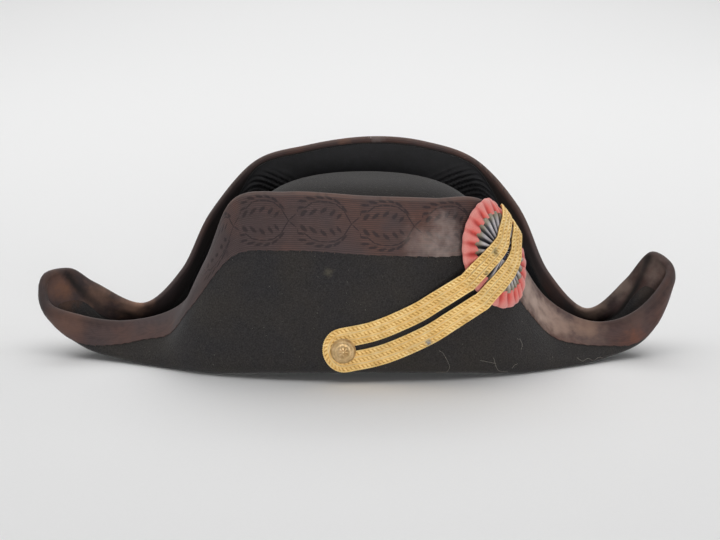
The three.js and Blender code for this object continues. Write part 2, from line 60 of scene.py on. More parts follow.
# The brim, one row for each section, from the middle of the front flap round by the right tip, the back
# flap and the left tip. fold is the corner where the brim turns up, bend how far from it the felt is
# rounded, rim the finished edge, and bulge how far the wall swells outward between the two.
BRIM_COLUMNS = ("fold_x", "fold_y", "fold_z", "bend", "rim_x", "rim_y", "rim_z", "bulge")
BRIM_SECTIONS = (
    (0, -95, 4, 9, 0, -90, 125, 2),  # front flap, middle
    (48, -93, 3.5, 9, 44, -85.5, 122.7, 2),  # front flap, right
    (86, -84, 1.5, 10, 79, -67, 117.8, 1),  # front flap, right corner
    (115, -73, 0, 12, 102, -41, 76.5, 1),  # right flank, upper
    (142, -58, 0, 12, 126, -24.5, 41.5, -1),  # right flank, lower
    (173, -38, 3, 12, 160, -20, 24.5, 1),  # right trough, front
    (199.5, -21, 12.5, 12, 188, -18.5, 32.5, 2),  # right tip, front
    (211, -11, 27, 12, 205.5, -12.5, 48, 2),  # right tip, front corner
    (215.5, 0, 42, 12, 213.5, -1, 61, 2),  # right tip, end
    (206.5, 11, 56, 5, 204, 13, 68.5, 0),  # right tip, shoulder
    (192, 17, 36, 8, 186, 20, 47, 0),  # right tip, crease
    (168, 38, 5, 10, 157, 26, 24, 0),  # right trough, back
    (145.5, 56, 0, 11, 132, 53, 46.5, -1),  # right back flank, lower
    (117.5, 74, 0, 12, 111, 76, 91, 0),  # right back flank, upper
    (87, 87, 1.5, 10, 81.5, 92, 122.8, 2),  # back flap, right corner
    (46, 94, 3.5, 9, 44, 97, 136, 2),  # back flap, right
    (0, 96, 4, 9, 4, 98, 139.5, 2),  # back flap, middle
    (-46, 94, 3.5, 9, -44, 96.5, 133, 2),  # back flap, left
    (-86, 87, 1.5, 10, -81, 92, 122, 2),  # back flap, left corner
    (-117, 74, 0, 12, -112.5, 73, 88, 0),  # left back flank, upper
    (-144, 56, 0, 11, -132.5, 52, 49, -1),  # left back flank, lower
    (-167, 39, 3.5, 10, -157, 26, 28.5, 0),  # left trough, back
    (-199, 21, 28, 8, -194, 19.5, 45, 0),  # left tip, crease
    (-215, 12.5, 46.5, 5, -211.5, 16, 56, 0),  # left tip, shoulder
    (-226.5, 2.5, 42, 10, -223.5, 4.5, 55, 2),  # left tip, end
    (-225, -9, 26, 12, -223, -8, 38.5, 2),  # left tip, front corner
    (-204, -26, 9.5, 12, -200, -18, 29.5, 2),  # left tip, front
    (-177, -40, 3, 12, -168, -20, 25.3, 1),  # left trough, front
    (-144, -58, 0, 12, -125.5, -31, 40.5, 3),  # left flank, lower
    (-117, -73, 0, 12, -107, -49, 76, 8),  # left flank, upper
    (-90, -84, 1.5, 10, -88, -71, 120, 2),  # front flap, left corner
    (-50, -93, 3.5, 9, -52, -88, 127.5, 2),  # front flap, left
)
# Places of the middle of the front, once round the brim, and of the back.
FRONT_MIDDLE = len(BRIM_SECTIONS)
BACK_MIDDLE = FRONT_MIDDLE // 2

# The laurel sprig woven into the ribbon, one row for each leaf: its middle along the ribbon and out from the
# ribbon's middle line, measured from where two sprigs cross, its turn in degrees, its length and its width.
LEAVES = (
    (8.2, 4.4, -50, 4.6, 2.0),  # inner side
    (12.6, 6.2, -50, 5.2, 2.4),
    (18.6, 7.4, -42, 5.8, 2.3),
    (25.4, 6.0, -38, 6.2, 2.4),
    (31.6, 5.0, -48, 5.8, 2.7),
    (4.8, 9.6, 48, 5.6, 1.8),  # outer side
    (9.6, 13.9, 35, 6.0, 1.9),
    (15.0, 16.0, 22, 5.8, 1.9),
    (21.2, 16.2, 12, 6.0, 1.9),
    (27.2, 15.0, 8, 6.2, 1.9),
    (32.6, 12.8, 2, 5.8, 1.9),
    (33.4, 8.6, -8, 5.2, 1.7),  # end of the sprig
    (36.4, 6.8, 0, 2.6, 2.4),  # berry
    (-2.6, 2.3, 138, 6.6, 0.9),  # tail of the stem past the crossing
)

# The line between the loop's two legs, from the button to the top of the cockade, as places with the way
# that the loop faces on the flap, and to the right of and above the cockade's middle on the cockade.
LOOP_ON_FLAP = (
    (-15.2, -98, 22, 0),
    (9.3, -98, 27.6, 0),
    (35.8, -98.8, 39.3, 2),
    (52.3, -101, 50, 8),
)
LOOP_ON_COCKADE = (
    (-34, -20.5),  # over the lower edge
    (-26.5, -15.8),
    (-17.3, -10.4),  # across the middle
    (-5, -4.2),
    (3, 1.6),
    (6.8, 8.2),
    (11.4, 14.4),  # towards the upper right edge
    (17, 18.6),
    (23, 21.4),
    (29, 23.6),
)

# Creases where the back flap meets the scoop of each tip, in painted shade, from the tip's top downward.
CREASES = (
    ((-206, 14.1, 52.3), (-198, 16.1, 42.4), (-190, 18.8, 33), (-181, 22, 25), (-171.4, 24, 21.8),
     (-162, 27, 19)),
    ((207.3, 13, 64), (203.4, 13.6, 52.4), (198.4, 16.6, 38.7), (193, 17.8, 29.7), (187.6, 18.7, 22.2),
     (182, 25.5, 17), (176.5, 28.2, 15)),
)

# Loose threads on the felt's front, each as places across and up the front.
LOOSE_THREADS = (
    ((55.9, 21), (58.4, 19), (61.6, 13.2), (62.8, 9.2), (60.6, 5.6), (52.6, 5.4)),
    ((92.7, 13.7), (95, 6.5), (98, 3.6), (102.8, 3.2)),
    ((83.8, 12.6), (90.9, 10.7), (94.4, 9.6)),
    ((105.6, 5.4), (107, 7.2), (109.3, 8)),
    ((152, 6), (156, 3.4), (160, 4.6), (164, 2.6), (168, 4.2), (171, 3.4)),
    ((111, 24), (112.6, 20), (112, 17)),
)

# What the camera and most of the lights point at.
AIM = (3, 2, 57.5)

# A way that no tube here runs along, which their sides are turned from.
ASLANT = (0.3, 0.2, 0.93)


class Slot(str, Enum):
    """Material slots of the record that the pieces take their finish from."""

    FELT = "black_felt"
    RIBBON = "edge_ribbon"
    LINING = "lining_cloth"
    RED = "red_ribbon"
    SILVER = "silver_ribbon"
    BLUE = "blue_ribbon"
    CORD = "gold_cord"
    BUTTON = "gilt_brass"


class Hold(str, Enum):
    """Ways in which a sheet of cloth is held on the hat."""

    FOLDED = "folded"
    GATHERED = "gathered"


class Spots(Enum):
    """Kinds of noise spots, each with the noise levels that give 0 and 1."""

    CLOUDS = (0.35, 0.65)
    FIBRES = (0.3, 0.7)
    LINT = (0.62, 0.78)
    RAGGED = (0.25, 0.75)
    FRAYED = (0.2, 0.8)
    STREAKS = (0.35, 0.7)
    RUST = (0.5, 0.72)
    SMUDGES = (0.45, 0.75)
    TARNISH = (0.5, 0.75)


def unit(vectors: Array) -> Array:
    """Vectors along the last axis at length 1."""
    return vectors / np.maximum(np.linalg.norm(vectors, axis=-1, keepdims=True), TINY)


def mix(start: Any, end: Any, share: Any) -> Any:
    """Value between two others."""
    return start + (end - start) * share


def smooth(value: Any, low: float, high: float) -> Any:
    """Smooth step from 0 at low to 1 at high."""
    share = np.clip((value - low) / (high - low), 0, 1)
    return share * share * (3 - 2 * share)


def fade(value: Any, low: float, high: float) -> Any:
    """Smooth step from 1 at low to 0 at high."""
    return smooth(-value, -high, -low)


def through(points: Array, at: Array) -> Array:
    """Smooth curve through points.

    Args:
        points: Places or other values, one row each.
        at: Where to read the curve, with a whole number at each point.

    Returns:
        The values of the curve, one row for each place that was asked for.
    """
    ends = np.vstack([2 * points[0] - points[1], points, 2 * points[-1] - points[-2]])
    first = np.clip(np.floor(at).astype(int), 0, len(points) - 2)
    f = (at - first)[:, None]
    p0, p1, p2, p3 = (ends[first + k] for k in range(4))
    straight = 2 * p1 + (p2 - p0) * f
    return (straight + (2 * p0 - 5 * p1 + 4 * p2 - p3) * f**2 + (3 * p1 - p0 - 3 * p2 + p3) * f**3) / 2


def lengths_along(points: Array) -> Array:
    """Lengths along runs of points, which follow one another on the last axis but one."""
    steps = np.linalg.norm(np.diff(points, axis=-2), axis=-1)
    return np.concatenate([np.zeros_like(steps[..., :1]), np.cumsum(steps, axis=-1)], axis=-1)


def read_at(at: Array, lengths: Array, rows: Array) -> Array:
    """Rows of three values, read at lengths between those of the rows."""
    return np.stack([np.interp(at, lengths, rows[:, k]) for k in range(3)], -1)


def painted_crease_shade(points: Array, width: float = 5.0) -> Array:
    """How much painted shade darkens the surface near the creases.

    Args:
        points: Places on the hat.
        width: Distance from a crease at which no shade is painted.

    Returns:
        A share for each point, which is 1 along a crease.
    """
    nearest = np.full(points.shape[:-1], np.inf)
    for crease in CREASES:
        line = np.array(crease, float)
        for start, end in zip(line[:-1], line[1:]):
            run = end - start
            share = np.clip((points - start) @ run / (run @ run), 0, 1)
            nearest = np.minimum(nearest, np.linalg.norm(points - start - share[..., None] * run, axis=-1))
    return fade(nearest, 0, width)


def grid_normals(grid: Array, closed: bool) -> Array:
    """Unit normals of a grid of points: the way across its columns turned towards the way along them."""
    across = np.roll(grid, -1, 0) - np.roll(grid, 1, 0) if closed else np.gradient(grid, axis=0)
    return unit(np.cross(across, np.gradient(grid, axis=1)))


def make_mesh(name: str, points: Array, faces: Sequence, traits: dict[str, Array] | None = None,
              crease: float = 50) -> Piece:
    """Make a smooth-shaded mesh piece.

    Args:
        name: Name of the piece.
        points: Its points in millimetres.
        faces: Its faces as runs of point numbers.
        traits: Values of each point, by name, that its finish reads.
        crease: Angle in degrees past which an edge is kept sharp.

    Returns:
        The piece, which is in the scene.
    """
    mesh = bpy.data.meshes.new(name)
    mesh.from_pydata((points * MM).tolist(), [], [list(face) for face in faces])
    for trait, values in (traits or {}).items():
        attribute = mesh.attributes.new(trait, "FLOAT", "POINT")
        attribute.data.foreach_set("value", np.asarray(values, np.float32).ravel())
    mesh.shade_smooth()
    mesh.set_sharp_from_angle(angle=math.radians(crease))
    mesh.update()
    piece = bpy.data.objects.new(name, mesh)
    bpy.context.scene.collection.objects.link(piece)
    return piece


def make_wall(name: str, face: Array, back: Array, closed: bool, traits: dict[str, Array] | None = None,
              poles: Array | None = None) -> Piece:
    """Make a closed wall between two grids of the same size.

    Args:
        name: Name of the piece.
        face: Grid on the side of the columns' way turned towards the rows' way.
        back: Grid on the other side.
        closed: Whether the last column is joined to the first.
        traits: Values of each grid point, by name.
        poles: Points that close the ends of the columns of both grids.

    Returns:
        The piece, which is in the scene.
    """
    columns, rows = face.shape[:2]
    number = np.arange(columns * rows).reshape(columns, rows)
    if closed:
        number = np.vstack([number, number[:1]])
    side = columns * rows
    front = np.stack([number[:-1, :-1], number[1:, :-1], number[1:, 1:], number[:-1, 1:]], -1)
    first, last = number[:, 0], number[:, -1]
    faces = [*front.reshape(-1, 4), *(front[..., ::-1].reshape(-1, 4) + side)]
    faces += [*np.stack([first[:-1], first[:-1] + side, first[1:] + side, first[1:]], -1)]
    points = [face.reshape(-1, 3), back.reshape(-1, 3)]
    if poles is not None:
        points.append(poles)
        top = np.full(len(last) - 1, 2 * side)
        faces += [*np.stack([last[:-1], last[1:], top], -1)]
        faces += [*np.stack([last[1:] + side, last[:-1] + side, top + 1], -1)]
    else:
        faces += [*np.stack([last[:-1], last[1:], last[1:] + side, last[:-1] + side], -1)]
    if not closed:
        for edge, turn in ((number[0], 1), (number[-1], -1)):
            end = np.stack([edge[:-1], edge[1:], edge[1:] + side, edge[:-1] + side], -1)
            faces += [*end[:, ::turn]]
    spare = 0 if poles is None else len(poles)
    doubled = {key: np.concatenate([value.ravel(), value.ravel(), np.zeros(spare)])
               for key, value in (traits or {}).items()}
    return make_mesh(name, np.concatenate(points), faces, doubled)


def make_tube(name: str, line: Array, radius: float, sides: int) -> Piece:
    """Make a closed round tube along a line.

    Args:
        name: Name of the piece.
        line: Points of its middle line.
        radius: Its radius.
        sides: How many sides its section has.

    Returns:
        The piece, which is in the scene.
    """
    way = unit(np.gradient(line, axis=0))
    side = unit(np.cross(way, ASLANT))
    lift = np.cross(side, way)
    turn = np.linspace(0, 2 * math.pi, sides, endpoint=False)[:, None]
    rings = line[:, None] + radius * (np.cos(turn) * side[:, None] + np.sin(turn) * lift[:, None])
    number = np.arange(len(line) * sides).reshape(len(line), sides)
    after = np.roll(number, -1, 1)
    faces = [*np.stack([number[:-1], after[:-1], after[1:], number[1:]], -1).reshape(-1, 4)]
    faces += [number[0][::-1], number[-1]]
    return make_mesh(name, rings.reshape(-1, 3), faces)


def settle(piece: Piece, slot: Slot, material: Material, *nodes: str) -> None:
    """Give a piece its finish and its place in the frame.

    Args:
        piece: The piece.
        slot: The record's slot of its finish, which is not used.
        material: Its material.
        nodes: Nodes that it stands for.
    """
    piece.data.materials.clear()
    piece.data.materials.append(material)
    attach(piece, "root")
    if nodes:
        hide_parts(*nodes)
    LOG.info("%s: %d faces", piece.name, len(piece.data.polygons))


def linear(colour: str) -> tuple[float, float, float, float]:
    """A colour in the values that a shader takes, by the sRGB standard.

    Args:
        colour: The colour as an sRGB hex value.

    Returns:
        Its linear red, green and blue, and its alpha.
    """
    parts = [int(colour[k:k + 2], 16) / 255 for k in (1, 3, 5)]
    red, green, blue = (c / 12.92 if c <= 0.04045 else ((c + 0.055) / 1.055) ** 2.4 for c in parts)
    return red, green, blue, 1.0


def add_node(tree: Tree, kind: str, inputs: dict | None = None, **settings: Any) -> bpy.types.Node:
    """Add a node with its settings and links.

    Args:
        tree: Tree that gets the node.
        kind: Name of the node's type.
        inputs: Values of its inputs, or the outputs that they are linked to, by name or number.
        settings: Its other settings.

    Returns:
        The node.
    """
    node = tree.nodes.new(kind)
    for name, value in settings.items():
        setattr(node, name, value)
    for name, value in (inputs or {}).items():
        if isinstance(value, Socket):
            tree.links.new(value, node.inputs[name])
        else:
            node.inputs[name].default_value = value
    return node


@dataclass(frozen=True)
class Patch:
    """A patch of another colour round a place on the hat, whose ragged edge is in shares of its radius."""

    x: float
    y: float
    z: float
    radius: float
    colour: str
    strength: float
    edge_grain: ClassVar[float] = 0.35
    edge_wander: ClassVar[float] = 0.55
    edge_start: ClassVar[float] = 0.7
    edge_end: ClassVar[float] = -0.4


@dataclass(frozen=True)
class Finish:
    """A material, started from its real name and typical values."""

    name: str
    rough: float
    shine: float = 0.3
    metal: float = 0.0
    sheen: float = 0.0
    grain: float = 1.0
    depth: float = 0.1
    patches: tuple[Patch, ...] = ()
    # Colour that painted shade darkens towards along the creases, and on the ribbon by its shade trait.
    painted_shade: str = ""
    sheen_rough: ClassVar[float] = 0.5
    noise_detail: ClassVar[float] = 3.0
    # Numbers of a mix node's sockets for colours, whose names other sockets have too.
    mix_ends: ClassVar[tuple[int, int]] = (6, 7)
    mix_result: ClassVar[int] = 2

    def material(self) -> Material:
        """Make the material.

        Returns:
            The material with its nodes.
        """
        material = bpy.data.materials.new(self.name)
        material.use_nodes = True
        tree = material.node_tree
        tree.nodes.clear()
        shader = add_node(tree, "ShaderNodeBsdfPrincipled", {
            "Roughness": self.rough, "Metallic": self.metal, "Specular IOR Level": self.shine,
            "Sheen Weight": self.sheen, "Sheen Roughness": self.sheen_rough})
        add_node(tree, "ShaderNodeOutputMaterial", {"Surface": shader.outputs[0]})
        metres = {0: add_node(tree, "ShaderNodeTexCoord").outputs["Object"], "Scale": 1 / MM}
        place = add_node(tree, "ShaderNodeVectorMath", metres, operation="SCALE").outputs[0]
        colour, height = self.pattern(tree, place)
        for patch in self.patches:
            colour = self.patched(tree, place, colour, patch)
        # Painted shade: the colour darkens along the creases by the crease trait.
        if self.painted_shade:
            crease = add_node(tree, "ShaderNodeAttribute", attribute_name="crease").outputs["Fac"]
            colour = self.blend(tree, crease, colour, self.painted_shade)
        bumps = {"Height": height, "Strength": 1.0, "Distance": self.depth * MM}
        bump = add_node(tree, "ShaderNodeBump", bumps).outputs[0]
        tree.links.new(colour, shader.inputs["Base Color"])
        tree.links.new(bump, shader.inputs["Normal"])
        return material

    def pattern(self, tree: Tree, place: Socket) -> tuple[Socket, Socket]:
        """Add the pattern's nodes.

        Args:
            tree: The material's nodes.
            place: Place on the hat in millimetres.

        Returns:
            The colour and the height of the surface, as outputs.
        """
        raise NotImplementedError

    def speckle(self, tree: Tree, place: Socket, size: float, spots: Spots = Spots.CLOUDS,
                squeeze: Place = (1, 1, 1)) -> Socket:
        """Add cloudy spots.

        Args:
            tree: The material's nodes.
            place: Place on the hat in millimetres.
            size: Size of a spot in millimetres.
            spots: Kind of spots.
            squeeze: How the place is squeezed along each axis, which stretches the spots.

        Returns:
            A value from 0 to 1.
        """
        low, high = spots.value
        at = add_node(tree, "ShaderNodeVectorMath", {0: place, 1: squeeze}, operation="MULTIPLY").outputs[0]
        cloud = {"Vector": at, "Scale": 1 / size, "Detail": self.noise_detail}
        noise = add_node(tree, "ShaderNodeTexNoise", cloud).outputs[0]
        levels = {"Value": noise, "From Min": low, "From Max": high}
        return add_node(tree, "ShaderNodeMapRange", levels).outputs[0]

    def blend(self, tree: Tree, share: Any, start: Any, end: Any) -> Socket:
        """Blend two colours by a share.

        Args:
            tree: The material's nodes.
            share: Share of the second colour, as an output or a number.
            start: First colour, as an output or an sRGB hex value.
            end: Second colour, given in the same ways.

        Returns:
            The blended colour.
        """
        ends = (linear(value) if isinstance(value, str) else value for value in (start, end))
        inputs = {0: share, **dict(zip(self.mix_ends, ends))}
        return add_node(tree, "ShaderNodeMix", inputs, data_type="RGBA").outputs[self.mix_result]

    def patched(self, tree: Tree, place: Socket, colour: Socket, patch: Patch) -> Socket:
        """Lay a patch with a ragged edge over a colour.

        Args:
            tree: The material's nodes.
            place: Place on the hat in millimetres.
            colour: Colour under the patch.
            patch: The patch.

        Returns:
            The patched colour.
        """
        middle = {0: place, 1: (patch.x, patch.y, patch.z)}
        apart = add_node(tree, "ShaderNodeVectorMath", middle, operation="DISTANCE").outputs["Value"]
        ragged = self.speckle(tree, place, patch.radius * patch.edge_grain, Spots.RAGGED)
        shift = {0: ragged, 1: -patch.radius * patch.edge_wander, 2: apart}
        reach = add_node(tree, "ShaderNodeMath", shift, operation="MULTIPLY_ADD").outputs[0]
        levels = {"Value": reach, "From Min": patch.radius * patch.edge_start,
                  "From Max": patch.radius * patch.edge_end, "To Max": patch.strength}
        share = add_node(tree, "ShaderNodeMapRange", levels, interpolation_type="SMOOTHSTEP").outputs[0]
        return self.blend(tree, share, colour, patch.colour)


@dataclass(frozen=True)
class FurFelt(Finish):
    """Black fur felt, blocked and brushed: matte, faded to charcoal, greyer where dust lies on it."""

    black: tuple[str, str] = ("#222122", "#383637")
    faded: tuple[str, str] = ("#282623", "#3d3937")
    # Upward faces are darkened towards this colour: painted shade, which holds back the top light on the
    # crown.
    painted_top_shade: str = "#191514"
    lint: str = "#625e58"
    faded_grains: float = 38
    lint_grains: float = 2.2
    lying: Span = (0.5, 1.0)
    painted_top_shade_share: float = 0.75
    lint_share: float = 0.2
    lint_where_lying: float = 0.5

    def pattern(self, tree: Tree, place: Socket) -> tuple[Socket, Socket]:
        """Fibres, faded clouds, lint and dust, with painted shade on upward faces. See Finish.pattern."""
        fibres = self.speckle(tree, place, self.grain, Spots.FIBRES)
        clouds = self.speckle(tree, place, self.faded_grains * self.grain)
        specks = self.speckle(tree, place, self.lint_grains * self.grain, Spots.LINT)
        black, faded = (self.blend(tree, fibres, *ends) for ends in (self.black, self.faded))
        worn = self.blend(tree, clouds, black, faded)
        normal = add_node(tree, "ShaderNodeNewGeometry").outputs["Normal"]
        upward = add_node(tree, "ShaderNodeSeparateXYZ", {0: normal}).outputs[2]
        # Painted shade: faces that look up take the darker colour; the same mask also lays more lint there.
        low, high = self.lying
        levels = {"Value": upward, "From Min": low, "From Max": high, "To Max": self.painted_top_shade_share}
        lying = add_node(tree, "ShaderNodeMapRange", levels).outputs[0]
        dark = self.blend(tree, lying, worn, self.painted_top_shade)
        shares = {0: lying, 1: self.lint_where_lying, 2: self.lint_share}
        dust = add_node(tree, "ShaderNodeMath", shares, operation="MULTIPLY_ADD").outputs[0]
        faint = add_node(tree, "ShaderNodeMath", {0: specks, 1: dust}, operation="MULTIPLY").outputs[0]
        return self.blend(tree, faint, dark, self.lint), fibres


@dataclass(frozen=True)
class LaurelRibbon(Finish):
    """Ribbed silk ribbon, woven laurel sprigs, black faded to brown, edge pale from wear and painted
    highlight.
    """

    # Colours at the left and the right of the hat and in the clouds.
    groove: tuple[str, str, str] = ("#403535", "#4b3530", "#3f3435")
    crest: tuple[str, str, str] = ("#524342", "#65443b", "#544342")
    leaves: tuple[str, str] = ("#2f2424", "#2d2527")
    rust: str = "#6c493d"
    streak: str = "#3a302e"
    smudge: str = "#352c2b"
    # Paler along the rim: partly rubbed wear, partly a painted highlight where the edge catches the light.
    rubbed: str = "#7b6b64"
    streak_share: float = 0.35
    smudge_share: float = 0.3
    rubbed_and_highlight_share: float = 0.3
    rubbed_and_highlight_from: Span = (1.4, 0.2)
    left_to_right: Span = (-75, 45)
    cloud_grains: float = 24
    rust_grains: float = 33
    smudge_grains: float = 7
    streak_squeeze: Place = (0.06, 1, 1)
    period: float = 42.4
    crossing: float = -9.7
    before_crossing: float = 5.6
    rib: float = 1.35
    stem_rise: float = 13.3
    stem_length: float = 36.0
    stem_drawn: float = 0.86
    stem_width: float = 0.9
    stem_steps: int = 6
    stem_overlap: float = 1.25
    far_off: float = 9.0
    fray: float = 0.7
    leaf_edge: Span = (1.75, 0.95)
    leaf_share: float = 0.9

    def stem(self, along: float) -> float:
        """How far the stem lies from the ribbon's middle line."""
        half = self.stem_length / 2
        return self.stem_rise * (1 - abs((along - half) / half) ** 3)

    def sprig(self) -> list[tuple[float, float, float, float, float]]:
        """Ovals of the sprig: the leaves of the table, and the stem in short straight steps.

        Returns:
            Rows like those of the leaves.
        """
        rows = list(LEAVES)
        places = np.linspace(0, self.stem_length * self.stem_drawn, self.stem_steps + 1)
        for start, end in zip(places[:-1], places[1:]):
            run = np.array([end - start, self.stem(end) - self.stem(start)])
            turn = math.degrees(math.atan2(run[1], run[0]))
            middle = (self.stem(start) + self.stem(end)) / 2
            rows.append(((start + end) / 2, middle, turn, np.linalg.norm(run) * self.stem_overlap,
                         self.stem_width))
        return rows

    def laurel(self, tree: Tree, along: Socket, across: Socket) -> Socket:
        """Add the sprigs, which are mirrored about the ribbon's middle line.

        Args:
            tree: The material's nodes.
            along: Length along the ribbon.
            across: Distance from the ribbon's middle line.

        Returns:
            Near 1 on a leaf or a stem, 0 on the ground.
        """
        places = {0: self.crossing, 1: along}
        back = add_node(tree, "ShaderNodeMath", places, operation="SUBTRACT").outputs[0]
        turns = {0: back, 1: self.period - self.before_crossing, 2: -self.before_crossing}
        step = add_node(tree, "ShaderNodeMath", turns, operation="WRAP").outputs[0]
        out = add_node(tree, "ShaderNodeMath", {0: across}, operation="ABSOLUTE").outputs[0]
        at = add_node(tree, "ShaderNodeCombineXYZ", {0: step, 1: out}).outputs[0]
        nearest: Any = self.far_off
        for along_mm, out_mm, turn, length, width in self.sprig():
            oval = add_node(tree, "ShaderNodeMapping", {
                "Vector": at, "Location": (along_mm, out_mm, 0), "Rotation": (0, 0, math.radians(turn)),
                "Scale": (length / 2, width / 2, 1)}, vector_type="TEXTURE").outputs[0]
            reach = add_node(tree, "ShaderNodeVectorMath", {0: oval}, operation="LENGTH").outputs["Value"]
            both = {0: nearest, 1: reach}
            nearest = add_node(tree, "ShaderNodeMath", both, operation="MINIMUM").outputs[0]
        frayed = {0: self.speckle(tree, at, self.rib, Spots.FRAYED), 1: self.fray, 2: nearest}
        ragged = add_node(tree, "ShaderNodeMath", frayed, operation="MULTIPLY_ADD").outputs[0]
        low, high = self.leaf_edge
        levels = {"Value": ragged, "From Min": low, "From Max": high, "To Max": self.leaf_share}
        return add_node(tree, "ShaderNodeMapRange", levels, interpolation_type="SMOOTHSTEP").outputs[0]

    def ridges(self, tree: Tree, across: Socket, clear: Socket) -> Socket:
        """Add the ribs.

        Args:
            tree: The material's nodes.
            across: Distance from the ribbon's middle line.
            clear: How clear the weave still is.

        Returns:
            1 on a rib, 0 between two.
        """
        turns = {0: across, 1: 2 * math.pi / self.rib}
        waves = add_node(tree, "ShaderNodeMath", turns, operation="MULTIPLY").outputs[0]
        wave = add_node(tree, "ShaderNodeMath", {0: waves}, operation="SINE").outputs[0]
        crisp = add_node(tree, "ShaderNodeMath", {0: wave, 1: clear}, operation="MULTIPLY").outputs[0]
        return add_node(tree, "ShaderNodeMapRange", {"Value": crisp, "From Min": -1.0}).outputs[0]

    def pattern(self, tree: Tree, place: Socket) -> tuple[Socket, Socket]:
        """Ribs, sprigs, faded clouds, painted highlight on the pale edge, painted shade. See Finish.pattern.
        """
        along, across, rim, clear, shade = (
            add_node(tree, "ShaderNodeAttribute", attribute_name=name).outputs["Fac"]
            for name in ("along", "across", "rim", "clear", "painted_shade"))
        ridge = self.ridges(tree, across, clear)
        strip = add_node(tree, "ShaderNodeCombineXYZ", {0: along, 1: across}).outputs[0]
        streaks = self.speckle(tree, strip, self.rib, Spots.STREAKS, self.streak_squeeze)
        clouds = self.speckle(tree, place, self.cloud_grains * self.grain)
        rusty = self.speckle(tree, place, self.rust_grains * self.grain, Spots.RUST)
        smudges = self.speckle(tree, place, self.smudge_grains * self.grain, Spots.SMUDGES)
        left, right = self.left_to_right
        side = add_node(tree, "ShaderNodeSeparateXYZ", {0: place}).outputs[0]
        sides = {"Value": side, "From Min": left, "From Max": right}
        warm = add_node(tree, "ShaderNodeMapRange", sides).outputs[0]
        groove, crest = (self.blend(tree, clouds, self.blend(tree, warm, *ends), cloudy)
                         for *ends, cloudy in (self.groove, self.crest))
        ground = self.blend(tree, ridge, groove, self.blend(tree, rusty, crest, self.rust))
        # Pale edge: partly rubbed wear, partly a painted highlight along the rim.
        start, end = self.rubbed_and_highlight_from
        edge = {"Value": rim, "From Min": start, "From Max": end, "To Max": self.rubbed_and_highlight_share}
        pale = add_node(tree, "ShaderNodeMapRange", edge).outputs[0]
        dark, dim, leaf, bare = (
            add_node(tree, "ShaderNodeMath", {0: value, 1: share}, operation="MULTIPLY").outputs[0]
            for value, share in ((streaks, self.streak_share), (smudges, self.smudge_share),
                                 (self.laurel(tree, along, across), clear), (pale, clear)))
        smudged = self.blend(tree, dim, self.blend(tree, dark, ground, self.streak), self.smudge)
        figured = self.blend(tree, leaf, smudged, self.blend(tree, clouds, *self.leaves))
        # Painted shade: the shade trait darkens the ribbon inside the flaps and tips.
        worn = self.blend(tree, shade, self.blend(tree, bare, figured, self.rubbed), self.painted_shade)
        raised = add_node(tree, "ShaderNodeMath", {0: leaf, 1: ridge}, operation="MAXIMUM").outputs[0]
        return worn, raised


@dataclass(frozen=True)
class BlackSilk(Finish):
    """Black silk plush, worn dull: nearly no colour, a faint cloudy sheen."""

    black: tuple[str, str] = ("#0b0b0d", "#131215")
    crushed: tuple[str, str] = ("#111013", "#1c1b1f")
    crushed_grains: float = 9

    def pattern(self, tree: Tree, place: Socket) -> tuple[Socket, Socket]:
        """Pile and crushed clouds. See Finish.pattern."""
        pile = self.speckle(tree, place, self.grain, Spots.FIBRES)
        clouds = self.speckle(tree, place, self.crushed_grains * self.grain)
        black, crushed = (self.blend(tree, pile, *ends) for ends in (self.black, self.crushed))
        return self.blend(tree, clouds, black, crushed), pile


@dataclass(frozen=True)
class PleatedRibbon(Finish):
    """Pleated woven ribbon: painted highlight on ridges, painted shade deep in hollows, faded along its
    outer edge.
    """

    # The hollow colour is painted shade in the pleats' hollows, the crest colour a painted highlight on
    # their ridges.
    hollow: str = "#000000"
    body: str = "#808080"
    crest: str = "#ffffff"
    outer: str = "#808080"
    shaded_hollow_to: float = 0.45
    highlit_crest_from: float = 0.35
    outer_from: float = 0.9
    outer_blur: float = 0.06
    outer_share: float = 1.0
    thread_share: float = 0.22

    def pattern(self, tree: Tree, place: Socket) -> tuple[Socket, Socket]:
        """Painted shade and highlight over the pleats, threads and the outer edge. See Finish.pattern."""
        ridge, reach = (add_node(tree, "ShaderNodeAttribute", attribute_name=name).outputs["Fac"]
                        for name in ("ridge", "reach"))
        threads = self.speckle(tree, place, self.grain, Spots.FIBRES)
        # Painted shade towards the hollows and painted highlight towards the ridges, by the ridge trait.
        low = add_node(tree, "ShaderNodeMapRange", {"Value": ridge, "From Max": self.shaded_hollow_to}).outputs[0]
        high = add_node(tree, "ShaderNodeMapRange", {"Value": ridge, "From Min": self.highlit_crest_from}).outputs[0]
        cloth = self.blend(tree, high, self.blend(tree, low, self.hollow, self.body), self.crest)
        ends = {"Value": reach, "From Min": self.outer_from - self.outer_blur,
                "From Max": self.outer_from + self.outer_blur, "To Max": self.outer_share}
        end = add_node(tree, "ShaderNodeMapRange", ends).outputs[0]
        lit, faint = (add_node(tree, "ShaderNodeMath", {0: value, 1: share}, operation="MULTIPLY").outputs[0]
                      for value, share in ((end, low), (threads, self.thread_share)))
        return self.blend(tree, faint, self.blend(tree, lit, cloth, self.outer), self.hollow), threads


